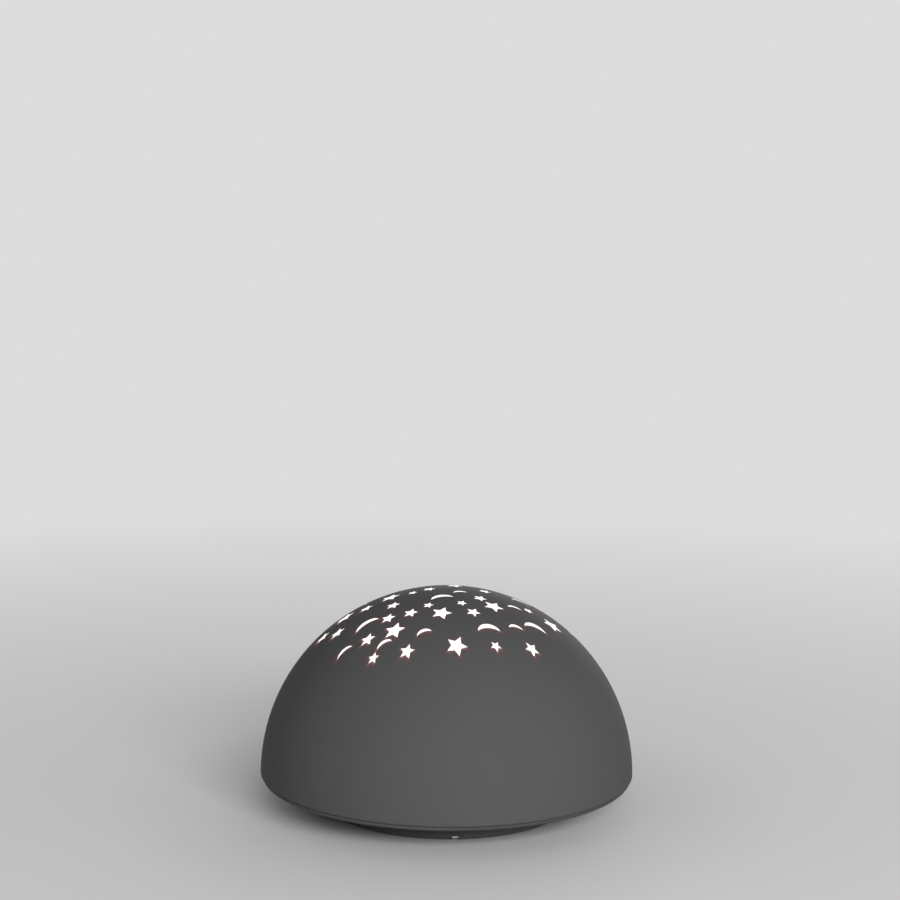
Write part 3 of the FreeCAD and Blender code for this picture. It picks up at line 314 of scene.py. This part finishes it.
def moonEdge(span):
    # an outer and an inner arc through the same two horns; each point is pushed out square to its arc,
    # and at a horn the push turns from the one arc's way to the other's
    def arc(height, way):
        radius = (span * span / 4 + height * height) / (2 * height)
        turn = math.asin(span / 2 / radius)
        angle = np.linspace(turn, -turn, fringe["arcPoints"]) * way
        outward = np.stack([np.sin(angle), np.cos(angle)], 1)
        return outward * radius + (0, height - radius), outward * way

    def horn(point, first, second):
        first, second = [math.atan2(way[1], way[0]) for way in (first, second)]
        turned = first + (second - first) % (2 * math.pi) * np.linspace(0, 1, fringe["hornPoints"])[1:-1]
        return np.repeat(point[None], len(turned), 0), np.stack([np.cos(turned), np.sin(turned)], 1)

    outer, outerWay = arc(fringe["moonRise"] * span, 1)
    inner, innerWay = arc((fringe["moonRise"] - fringe["moonThickness"]) * span, -1)
    left, leftWay = horn(outer[-1], outerWay[-1], innerWay[0])
    right, rightWay = horn(inner[-1], innerWay[-1], outerWay[0])
    points = np.concatenate([outer, left, inner, right]) - (0, fringe["moonRise"] * span / 2)
    return points, np.concatenate([outerWay, leftWay, innerWay, rightWay])


def meshPiece(name, points, faces, body=None):
    mesh = bpy.data.meshes.new(name)
    mesh.from_pydata(points.reshape(-1, 3).tolist(), [], faces.tolist())
    mesh.polygons.foreach_set("use_smooth", np.ones(len(mesh.polygons), bool))
    piece = bpy.data.objects.new(name, mesh)
    bpy.context.scene.collection.objects.link(piece)
    if body:
        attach(piece, body)
    return piece


def gridFaces(rows, columns):
    # quads between neighbouring rows, wrapping round the columns
    row, column = np.meshgrid(np.arange(rows - 1) * columns, np.arange(columns), indexing="ij")
    after, below = (column + 1) % columns, row + columns
    return np.stack([row + column, below + column, below + after, row + after], -1).reshape(-1, 4)


def insideOf(points, edge):
    # even-odd rule: how often a line to the right of a point crosses the edge
    start, end = edge, np.roll(edge, -1, 0)
    x, y = points[:, None, 0], points[:, None, 1]
    spans = (start[:, 1] > y) != (end[:, 1] > y)
    climb = np.where(end[:, 1] == start[:, 1], 1.0, end[:, 1] - start[:, 1])
    crossing = start[:, 0] + (y - start[:, 1]) * (end[:, 0] - start[:, 0]) / climb
    return (spans & (x < crossing)).sum(1) % 2 == 1


edges = []
for kind, polar, azimuth in frontCutouts + backCutouts:
    moon = kind in fringe["moonSizes"]
    points, ways = moonEdge(fringe["moonSizes"][kind]) if moon else starEdge(fringe["starSizes"][kind])
    turn = math.radians(fringe["moonTurn"] if moon else fringe["starTurn"])
    turned = np.array([[math.cos(turn), math.sin(turn)], [-math.sin(turn), math.cos(turn)]])
    away = dome["radius"] * math.sin(math.radians(polar))
    middle = away * np.array([math.sin(math.radians(azimuth)), -math.cos(math.radians(azimuth))])
    edges.append((points @ turned + middle, ways @ turned))

# each band is rings of points, pushed out from a cut-out's edge by steps that grow with the power 1.5 of
# the ring's share, then raised to a sphere just over the dome's skin; its glow is e to the power of minus
# distance over fall, more on the lower side and less near the axis, and nought over other cut-outs and on
# the last ring
fringePoints, fringeFaces, fringeGlow = [], [], []
steps = np.linspace(0, 1, fringe["rings"]) ** 1.5 * fringe["reach"]
skin = dome["radius"] + fringe["over"]
for edge, ways in edges:
    ring = (edge[None] + ways[None] * steps[:, None, None]).reshape(-1, 2)
    apart = ring[:, None] - edge[None]
    distance = np.linalg.norm(apart, axis=2)
    nearest = apart[np.arange(len(ring)), distance.argmin(1)]
    distance = distance.min(1)
    outward = ring / np.linalg.norm(ring, axis=1, keepdims=True)
    below = np.clip((nearest * outward).sum(1) / np.maximum(distance, 1e-6), 0, 1)
    fall = fringe["fallNear"] + (fringe["fallFar"] - fringe["fallNear"]) * below
    lean = np.clip(np.linalg.norm(ring, axis=1) / fringe["fullAt"], fringe["least"], 1)
    glow = np.exp(-distance / fall) * (fringe["upper"] + (1 - fringe["upper"]) * below) * lean
    for other, _ in edges:
        if other is not edge:
            glow[insideOf(ring, other)] = 0
    glow[-len(edge):] = 0
    height = dome["centreZ"] + np.sqrt(skin ** 2 - (ring ** 2).sum(1))
    start = sum(len(points) for points in fringePoints)
    fringePoints.append(np.column_stack([ring, height]))
    fringeFaces.append(gridFaces(len(steps), len(edge)) + start)
    fringeGlow.append(glow)
fringePiece = meshPiece(
    "cutout_fringe", np.concatenate(fringePoints), np.concatenate(fringeFaces), "housing"
)
attribute = fringePiece.data.attributes.new("glow", "FLOAT", "POINT")
attribute.data.foreach_set("value", np.concatenate(fringeGlow))
fringeFinish = Finish(
    "fringeGlow", dome["colour"], dome["roughness"], {**plastic["shader"], "Emission Strength": 1.0}
)
glowing = fringeFinish.node("ShaderNodeAttribute", {"attribute_name": "glow"}, output="Fac")
fringeTone = fringeFinish.noise(0.0012, 2.0)
fringeFinish.set({
    "Base Color": fringeFinish.blend(fringeTone, shade(dome["colour"], 0.95), shade(dome["colour"], 1.05)),
    "Emission Color": fringeFinish.blend(glowing ** 2, fringe["farColour"], fringe["edgeColour"]),
    "Alpha": glowing,
})
fringePiece.data.materials.append(fringeFinish.material)
print("fringe:", len(fringePiece.data.polygons), "faces")

# Base, door, rubber feet and foam
base = {
    "colour": (0.098, 0.098, 0.0985),
    "roughness": 0.6,
    "doorColour": (0.090, 0.090, 0.0915),
    "doorRoughness": 0.62,
    "grain": (0.0005, 0.00002),
}
baseFinish = mouldedPlastic("basePlastic", base["colour"], base["roughness"], *base["grain"])
baseFinish.on("base_tray")
doorFinish = mouldedPlastic("doorPlastic", base["doorColour"], base["doorRoughness"], *base["grain"])
doorFinish.on("battery_door")

foot = {
    "colour": (0.024, 0.024, 0.025),
    "dusty": (0.07, 0.068, 0.065),
    "dust": 0.0012,
    "dustStart": 0.6,         # noise over this is dust
    "roughness": 0.7,
    "grain": 0.0003,
    "grainDepth": 0.00002,
}
rubber = Finish("footRubber", foot["colour"], foot["roughness"])
rubberDust = rubber.noise(foot["dust"], 4.0)
rubber.set({
    "Base Color": rubber.blend((rubberDust > foot["dustStart"]) * 0.5, foot["colour"], foot["dusty"]),
    "Roughness": foot["roughness"] + rubberDust * 0.2,
})
rubber.bump(rubber.noise(foot["grain"], 2.0), foot["grainDepth"])
rubber.on("rubber_feet")

pad = {
    "pore": (0.012, 0.012, 0.013),
    "skin": (0.05, 0.05, 0.053),
    "roughness": 0.95,
    "poreSize": 0.0006,
    "poreDepth": 0.0002,
}
foam = Finish("padFoam", pad["skin"], pad["roughness"])
poreDepthAndShade = foam.cells(pad["poreSize"])
# painted shade: each pore's pit, which the bump sinks, is painted darker than the foam's skin
foam.set({"Base Color": foam.blend((poreDepthAndShade * 1.4).clipped(), pad["pore"], pad["skin"])})
foam.bump(poreDepthAndShade, pad["poreDepth"])
foam.on("battery_pad")


# Screws, contacts and springs
plating = {
    # colour, roughness, and how much thinner the streaks are each way
    "zinc": ((0.56, 0.57, 0.6), 0.32, (1, 1, 12)),
    "brass": ((0.75, 0.53, 0.25), 0.3, (1, 1, 30)),
    "spring": ((0.62, 0.61, 0.58), 0.3, (12, 1, 1)),
    "switch": ((0.58, 0.58, 0.57), 0.36, (8, 1, 1)),
    "streak": 0.0006,
    "streakDepth": 0.000008,
    "spot": 0.0015,
    "spotStart": 0.6,         # noise over this is a dull spot
    "dark": 0.825,
    "light": 1.08,
}


def metal(name, colour, roughness, stretch):
    # plated metal: drawn streaks in tone and roughness, dull spots
    finish = Finish(name, colour, roughness, {"Metallic": 1.0})
    streaks = finish.noise(plating["streak"], stretch=stretch)
    spots = finish.noise(plating["spot"]) > plating["spotStart"]
    dark, light = shade(colour, plating["dark"]), shade(colour, plating["light"])
    finish.set({"Base Color": finish.blend(streaks, dark, light)})
    finish.set({"Roughness": (streaks * 0.14 + spots * 0.12 + (roughness - 0.08)).clipped()})
    finish.bump(streaks, plating["streakDepth"])
    return finish


metal("zincScrew", *plating["zinc"]).on(
    "housing_screws", "battery_door_screw", "reflector_screws", "led_board_screws", "control_board_screws"
)
metal("turnedBrass", *plating["brass"]).on("screw_insert")
metal("springSteel", *plating["spring"]).on("battery_springs", "battery_contacts")
metal("switchSteel", *plating["switch"]).on("power_switch_body")
print("base and metal finished")

# Small moulded marks, each a rounded rib that stands on its surface
marks = {
    "width": 0.0006,
    "proud": 0.00022,
    "sides": 12,              # points round a rib
    "linePoints": 24,
    "circlePoints": 40,
    "weld": 0.0000015,        # closes the ribs' ends and seams
    "switchReach": 0.0085,    # O and I from the slider's middle
    "circle": 0.0011,         # radius of the O
    "bar": 0.0022,            # length of the I
    "arrow": 0.007,           # length of the arrow on the door
    "arrowX": 0.0075,
    "barb": 0.0022,           # reach of the arrow's barbs, back and aside
    "ejector": 0.002,
    "ejectorPlaces": [(0.0, 0.026), (-0.026, 0.02), (0.026, 0.02), (-0.026, -0.02), (0.026, -0.02)],
    "ring": 0.0019,           # radius of the ring on the button
    "ringArc": (125, 415),    # degrees, open at the top
    "stem": (0.0004, 0.0022),    # from and to, over the ring's middle
    "crown": 0.0008,          # the button's crown over the dome's skin
}


def rib(path, out, taper=True):
    # an elliptical tube along a path, marks' width wide and proud high, half of it sunk in the surface;
    # its section shrinks by the root of 1 - t^16 towards the ends, where t runs from -1 to 1
    path = np.asarray(path, float)
    out = np.broadcast_to(np.asarray(out, float), path.shape)
    along = np.gradient(path, axis=0) if taper else np.roll(path, -1, 0) - np.roll(path, 1, 0)
    along = along / np.linalg.norm(along, axis=1, keepdims=True)
    aside = np.cross(along, out)
    aside /= np.linalg.norm(aside, axis=1, keepdims=True)
    share = np.linspace(-1, 1, len(path)) if taper else np.zeros(len(path))
    grown = np.sqrt(np.clip(1 - share ** 16, 1e-9, 1))[:, None, None]
    angle = np.linspace(0, 2 * math.pi, marks["sides"], endpoint=False)[None, :, None]
    return path[:, None] + grown * (
        aside[:, None] * np.cos(angle) * marks["width"] / 2 + out[:, None] * np.sin(angle) * marks["proud"]
    )


def line(start, end):
    # points spaced by a cosine, so that they crowd towards the two ends
    share = (1 - np.cos(np.linspace(0, math.pi, marks["linePoints"])))[:, None] / 2
    return np.asarray(start) * (1 - share) + np.asarray(end) * share


def circle(middle, radius, begin=0.0, end=2 * math.pi, closed=True):
    # points round a middle in X and Y, from one angle to another
    angle = np.linspace(begin, end, marks["circlePoints"], endpoint=not closed)
    return np.stack([radius * np.cos(angle), radius * np.sin(angle), angle * 0], 1) + middle


def marksPiece(name, ribs, body, finish):
    # ribs are (grid, closed) pairs; an open one is capped by its own shrunken ends
    points, faces, count = [], [], 0
    for grid, closed in ribs:
        rows, columns = grid.shape[:2]
        if closed:
            grid = np.concatenate([grid, grid[:1]])
            rows += 1
        points.append(grid.reshape(-1, 3))
        faces.append(gridFaces(rows, columns) + count)
        count += rows * columns
    piece = meshPiece(name, np.concatenate(points), np.concatenate(faces), body)
    seams = piece.modifiers.new("seams", "WELD")
    seams.merge_threshold = marks["weld"]
    piece.data.materials.append(finish.material)
    return piece


down = (0, 0, -1)
floorLevel = 0.001            # underside of the base and of the door
sliderLow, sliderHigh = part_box("power_switch_slider")
switchY = (sliderLow[1] + sliderHigh[1]) / 2
switchX, bar = marks["switchReach"], marks["bar"] / 2
switchMarks = [
    (rib(circle((switchX, switchY, floorLevel), marks["circle"]), down, taper=False), True),
    (rib(line((-switchX, switchY - bar, floorLevel), (-switchX, switchY + bar, floorLevel)), down), False),
]
ejectorMarks = [
    (rib(circle((x, y, floorLevel), marks["ejector"]), down, taper=False), True)
    for x, y in marks["ejectorPlaces"]
]
marksPiece("switch_marks", switchMarks, "housing", baseFinish)
marksPiece("ejector_marks", ejectorMarks, "housing", baseFinish)

arrowTail, arrowTip = [marks["arrowX"] + way * marks["arrow"] / 2 for way in (-1, 1)]
barb = marks["barb"]
arrowMarks = [
    (rib(line((x, y, floorLevel), (arrowTip, 0, floorLevel)), down), False)
    for x, y in ((arrowTail, 0), (arrowTip - barb, barb), (arrowTip - barb, -barb))
]
marksPiece("door_arrow", arrowMarks, "door", doorFinish)


def onButton(flat):
    # lifts a drawing in X and Z to the button's crown, a sphere round the dome's middle
    rise = flat[:, 2] - dome["centreZ"]
    crown = dome["radius"] + marks["crown"]
    lifted = np.stack([flat[:, 0], np.sqrt(crown ** 2 - flat[:, 0] ** 2 - rise ** 2), flat[:, 2]], 1)
    return lifted, (lifted - (0, 0, dome["centreZ"])) / crown


buttonLow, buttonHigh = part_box("mode_button")
buttonZ = (buttonLow[2] + buttonHigh[2]) / 2
ring = circle((0, 0, 0), marks["ring"], *np.radians(marks["ringArc"]), closed=False)
ring = np.stack([ring[:, 0], ring[:, 2], ring[:, 1] + buttonZ], 1)
stem = line(*[(0, 0, buttonZ + over) for over in marks["stem"]])
buttonMarks = [(rib(*onButton(path)), False) for path in (ring, stem)]
marksPiece("button_mark", buttonMarks, "button", buttonFinish)
print("marks moulded")

# Reflector plate, boards and lamps
plate = {
    "dim": (0.82, 0.82, 0.8),
    "bright": (0.9, 0.9, 0.89),
    "cloud": 0.012,
    "roughness": 0.18,
    "grain": 0.0009,
    "grainDepth": 0.000008,
}
whitePlate = Finish("reflectorWhite", plate["bright"], plate["roughness"], {"IOR": 1.5})
plateCloud = whitePlate.noise(plate["cloud"])
whitePlate.set({"Base Color": whitePlate.blend(plateCloud, plate["dim"], plate["bright"])})
whitePlate.set({"Roughness": plate["roughness"] + plateCloud * 0.1})
whitePlate.bump(whitePlate.noise(plate["grain"], 2.0), plate["grainDepth"])
whitePlate.on("reflector_plate")

board = {
    "green": ((0.012, 0.11, 0.035), (0.03, 0.2, 0.07)),      # bare mask, and mask over copper
    "white": ((0.8, 0.81, 0.79), (0.68, 0.68, 0.64)),
    "pitch": 0.0011,          # between tracks
    "run": 7,                 # length of a track in pitches
    "halfTrack": 0.2,         # half a track's width in pitches
    "along": 0.4,             # share of the places without a track along X
    "cross": 0.72,            # and without one across it
    "roughness": 0.3,
    "copperDepth": 0.00003,
}


def circuitBoard(name, mask, copper, across="y"):
    # solder mask over straight tracks: the board is cut in strips along X, each strip in lengths, and a
    # length has a track where a random number of its own is high; cross tracks join some strips
    finish = Finish(name, mask, board["roughness"], {"IOR": 1.5})
    second = getattr(finish, across)

    def tracks(first, second, chance):
        strip, length = (second / board["pitch"]).floor(), (first / (board["pitch"] * board["run"])).floor()
        corner = finish.node("ShaderNodeCombineXYZ", {}, [strip, length, chance])
        chosen = finish.node("ShaderNodeTexWhiteNoise", {}, [corner]) > chance
        return chosen * (((second / board["pitch"]).share() - 0.5).size() < board["halfTrack"])

    copperHere = tracks(finish.x, second, board["along"]).most(tracks(second, finish.x, board["cross"]))
    finish.set({"Base Color": finish.blend(copperHere, mask, copper)})
    finish.set({"Roughness": board["roughness"] + finish.noise(0.002, 2.0) * 0.12})
    finish.bump(copperHere, board["copperDepth"])
    return finish


circuitBoard("greenBoard", *board["green"]).on("control_board")
circuitBoard("uprightBoard", *board["green"], across="z").on("button_board")
circuitBoard("whiteBoard", *board["white"]).on("led_board")

lamp = {
    "colours": {"red": (1.0, 0.06, 0.03), "green": (0.05, 1.0, 0.2), "blue": (0.05, 0.14, 1.0)},
    "shader": {"IOR": 1.54, "Emission Strength": 1.6},
    "roughness": 0.12,
    "paleness": 0.45,         # how near to white the bright core is
    "core": 0.002,
    "grain": 0.0012,
    "grainDepth": 0.00001,
}
for name, colour in lamp["colours"].items():
    lens = Finish(name + "Lens", shade(colour, 0.9), lamp["roughness"], lamp["shader"])
    pale = tuple(lamp["paleness"] + (1 - lamp["paleness"]) * part for part in colour)
    lens.set({"Emission Color": lens.blend(lens.noise(lamp["core"], 1.0), colour, pale)})
    lens.bump(lens.noise(lamp["grain"], 2.0), lamp["grainDepth"])
    lens.on(name + "_leds")

chip = {
    "dim": (0.014, 0.014, 0.015),
    "bright": (0.03, 0.03, 0.031),
    "cloud": 0.001,
    "roughness": 0.42,
    "wear": 0.0004,
    "grain": 0.00018,
    "grainDepth": 0.00001,
}
chipBlack = Finish("mouldedBlack", chip["dim"], chip["roughness"])
chipBlack.set({
    "Base Color": chipBlack.blend(chipBlack.noise(chip["cloud"]), chip["dim"], chip["bright"]),
    "Roughness": chip["roughness"] + chipBlack.noise(chip["wear"]) * 0.2,
})
chipBlack.bump(chipBlack.noise(chip["grain"], 2.0), chip["grainDepth"])
chipBlack.on("controller_chip", "button_switch_body", "button_switch_plunger", "power_switch_slider")

resistor = {
    "dim": (0.016, 0.016, 0.018),
    "bright": (0.026, 0.026, 0.028),
    "tin": (0.6, 0.6, 0.6),
    "tinned": 0.34,           # the tin starts at this share of the length from the middle
    "speck": 0.0005,
    "roughness": 0.25,
}


def chipResistor(node):
    # black ceramic between tinned ends, which lie at the node's front and back
    low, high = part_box(node)
    finish = Finish(node.replace("_resistors", "Resistor"), resistor["dim"], resistor["roughness"])
    tinned = (finish.y - (low[1] + high[1]) / 2).size() > (high[1] - low[1]) * resistor["tinned"]
    speck = finish.noise(resistor["speck"], 2.0)
    ceramic = finish.blend(speck, resistor["dim"], resistor["bright"])
    finish.set({"Base Color": finish.blend(tinned, ceramic, resistor["tin"])})
    finish.set({"Metallic": tinned, "Roughness": resistor["roughness"] + speck * 0.2})
    finish.on(node)


chipResistor("led_resistors")
chipResistor("board_resistors")

capLow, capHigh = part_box("capacitor")
sleeve = {
    "colour": (0.012, 0.02, 0.09),
    "stripe": (0.5, 0.52, 0.55),
    "stripeWidth": 0.0018,
    "stripeTop": 0.0003,      # from the stripe's end to the top
    "top": (0.6, 0.6, 0.61),
    "skin": 0.00005,          # the sleeve ends this far below the top
    "cloud": 0.0015,
    "wear": 0.001,
    "roughness": 0.26,
}
can = Finish("capacitorSleeve", sleeve["colour"], sleeve["roughness"])
stripe = (can.y < capLow[1] + sleeve["stripeWidth"]) * (can.z < capHigh[2] - sleeve["stripeTop"])
bare = can.z > capHigh[2] - sleeve["skin"]
dark, light = shade(sleeve["colour"], 0.85), shade(sleeve["colour"], 1.2)
sleeveTone = can.blend(can.noise(sleeve["cloud"]), dark, light)
can.set({
    "Base Color": can.blend(bare, can.blend(stripe, sleeveTone, sleeve["stripe"]), sleeve["top"]),
    "Metallic": bare,
    "Roughness": sleeve["roughness"] + can.noise(sleeve["wear"], 2.0) * 0.15,
})
can.on("capacitor")

connector = {"dim": (0.72, 0.66, 0.52), "bright": (0.84, 0.79, 0.66), "cloud": 0.0015, "roughness": 0.36}
nylon = Finish("connectorNylon", connector["dim"], connector["roughness"])
nylonTone = nylon.noise(connector["cloud"])
nylon.set({"Base Color": nylon.blend(nylonTone, connector["dim"], connector["bright"])})
nylon.set({"Roughness": connector["roughness"] + nylonTone * 0.14})
nylon.on("cable_connector")
print("boards and lamps finished")

# Cells and wires
cell = {
    "length": 0.0445,
    "pitch": 0.0112,
    "button": 0.00085,        # steel from the tip to the shoulder
    "band": 0.010,            # coloured band below the tip
    "end": 0.00003,           # steel at the flat end
    "body": (0.018, 0.03, 0.06),
    "bandColour": (0.62, 0.4, 0.12),
    "steel": (0.68, 0.68, 0.67),
    "roughness": 0.2,
    "scuff": 0.0012,
    "scuffStretch": (0.3, 1, 1),
    "scuffTone": 2.2,
}
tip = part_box("battery_cells")[1][0]
wrap = Finish("cellWrap", cell["body"], cell["roughness"])
# the middle cell lies the other way round
towardTip = wrap.x * (1 - 2 * (wrap.y.size() < cell["pitch"] / 2))
banded = towardTip > tip - cell["band"]
bareSteel = ((towardTip > tip - cell["button"]) + (towardTip < tip - cell["length"] + cell["end"])).clipped()
scuffs = wrap.noise(cell["scuff"], 4.0, stretch=cell["scuffStretch"])
scuffed = wrap.blend(scuffs * 0.25, cell["body"], shade(cell["body"], cell["scuffTone"]))
wrapColour = wrap.blend(banded, scuffed, cell["bandColour"])
wrap.set({
    "Base Color": wrap.blend(bareSteel, wrapColour, cell["steel"]),
    "Metallic": (bareSteel + banded * 0.7).clipped(),
    "Roughness": cell["roughness"] + scuffs * 0.18,
})
wrap.on("battery_cells")


wires = {
    "colours": {
        "red_battery_lead": (0.55, 0.012, 0.01),
        "black_battery_lead": (0.015, 0.015, 0.016),
        "led_cable": (0.78, 0.78, 0.76),
        "button_wires": (0.72, 0.46, 0.03),
    },
    "cloud": 0.004,
    "dark": 0.8,
    "light": 1.15,
    "wear": 0.0009,
    "roughness": 0.32,
    "grain": 0.0005,
    "grainDepth": 0.00001,
}
# soft insulation: a slow change of tone, rubbed patches and a fine grain
for name, colour in wires["colours"].items():
    insulation = Finish(name.replace("_", " ") + " insulation", colour, wires["roughness"], {"IOR": 1.5})
    dark, light = shade(colour, wires["dark"]), shade(colour, wires["light"])
    insulation.set({
        "Base Color": insulation.blend(insulation.noise(wires["cloud"]), dark, light),
        "Roughness": wires["roughness"] + insulation.noise(wires["wear"], 2.0) * 0.16,
    })
    insulation.bump(insulation.noise(wires["grain"], 2.0), wires["grainDepth"])
    insulation.on(name)
print("cells and wires finished")

# Floor: a wide disc that runs into the same pale tone as the background
studio = {
    "floor": (0.82, 0.82, 0.815),
    "pale": (0.72, 0.72, 0.72),
    "near": 0.3,              # share of plain paleness a little way from the object
    "nearStart": 0.042,       # it grows from here to here, so that the contact shadow stays dark
    "nearEnd": 0.11,
    "fadeEnd": 0.55,          # and here the floor has the background's tone
    "open": 0.0362,           # the disc is open under the foot, which hides it: the base is lit from below
    "reach": 6.0,
    "rings": 24,
    "sides": 96,
    "ambient": 0.16,
}
# rings of points: the radius grows with the square of the ring's share, the height is nought
share = np.linspace(0, 1, studio["rings"])[:, None] ** 2
angle = np.linspace(0, 2 * math.pi, studio["sides"], endpoint=False)[None]
radius = studio["open"] + (studio["reach"] - studio["open"]) * share
disc = np.stack([radius * np.cos(angle), radius * np.sin(angle), radius * angle * 0], -1)
floor = meshPiece("floor", disc, gridFaces(studio["rings"], studio["sides"]))
floorFinish = Finish("floorPale", studio["floor"], 0.85)
paleTone, paperTone = shade(studio["floor"], 0.985), shade(studio["floor"], 1.015)
floorFinish.set({"Base Color": floorFinish.blend(floorFinish.noise(0.4, 2.0), paleTone, paperTone)})
away = (floorFinish.x * floorFinish.x + floorFinish.y * floorFinish.y).root()
nearShare = ((away - studio["nearStart"]) / (studio["nearEnd"] - studio["nearStart"])).clipped()
farShare = ((away - studio["nearEnd"]) / (studio["fadeEnd"] - studio["nearEnd"])).clipped()
fade = nearShare * studio["near"] + farShare * (1 - studio["near"])
paper = floorFinish.node("ShaderNodeEmission", {}, {"Color": studio["pale"], "Strength": 1.0})
litFloor = Value(floorFinish, floorFinish.shader.outputs[0])
mixed = floorFinish.node("ShaderNodeMixShader", {}, {0: fade * floorFinish.seenRays(), 1: litFloor, 2: paper})
# from underneath the floor isn't there, so that the battery door and the switch can be looked at
underneath = floorFinish.node("ShaderNodeNewGeometry", output="Backfacing")
nothing = floorFinish.node("ShaderNodeBsdfTransparent")
mixed = floorFinish.node("ShaderNodeMixShader", {}, {0: underneath, 1: mixed, 2: nothing})
floorFinish.feed(floorFinish.tree.nodes["Material Output"].inputs["Surface"], mixed)
floor.data.materials.append(floorFinish.material)

world = bpy.data.worlds.new("studio")
bpy.context.scene.world = world
world.use_nodes = True
sky = Tree(world.node_tree)
background = world.node_tree.nodes["Background"]
sky.feed(background.inputs["Color"], studio["pale"])
# what the camera sees has the full pale tone, and what lights the object the ambient share of it
ambient = studio["ambient"] / studio["pale"][0]
sky.feed(background.inputs["Strength"], sky.seenRays() * (1 - ambient) + ambient)

# name: place, aim, width, height, watts
lights = {
    "key": ((0.384, -1.182, 0.557), (0, 0, 0.03), 0.9, 0.33, 14.0),
    "back": ((0.3, 1.25, 0.25), (0, 0, 0.03), 0.9, 0.4, 4.0),
    "under": ((0.4, -0.5, -1.1), (0, 0, 0), 0.7, 0.7, 9.0),
}
for name, (place, aim, width, height, watts) in lights.items():
    data = bpy.data.lights.new(name, "AREA")
    data.shape = "RECTANGLE"
    data.size, data.size_y = width, height
    data.energy = watts
    source = bpy.data.objects.new(name, data)
    source.location = place
    source.rotation_euler = (Vector(aim) - Vector(place)).to_track_quat("-Z", "Y").to_euler()
    bpy.context.scene.collection.objects.link(source)

view = {
    "place": (0.0, -0.6902, 0.2141),
    "down": 8.13,             # degrees below level
    "roll": 0.62,
    "focal": 2198,            # in pixels, of a frame this wide
    "frame": 900,
    "sensor": 36,
}
cameraData = bpy.data.cameras.new("camera")
cameraData.sensor_width = view["sensor"]
cameraData.lens = view["sensor"] * view["focal"] / view["frame"]
camera = bpy.data.objects.new("camera", cameraData)
pitched = Matrix.Rotation(math.radians(90 - view["down"]), 4, "X")
rolled = Matrix.Rotation(math.radians(view["roll"]), 4, "Z")
camera.matrix_world = Matrix.Translation(view["place"]) @ (pitched @ rolled)
bpy.context.scene.collection.objects.link(camera)
bpy.context.scene.camera = camera
bpy.context.scene.view_settings.view_transform = "Standard"
print("floor, light and camera set")
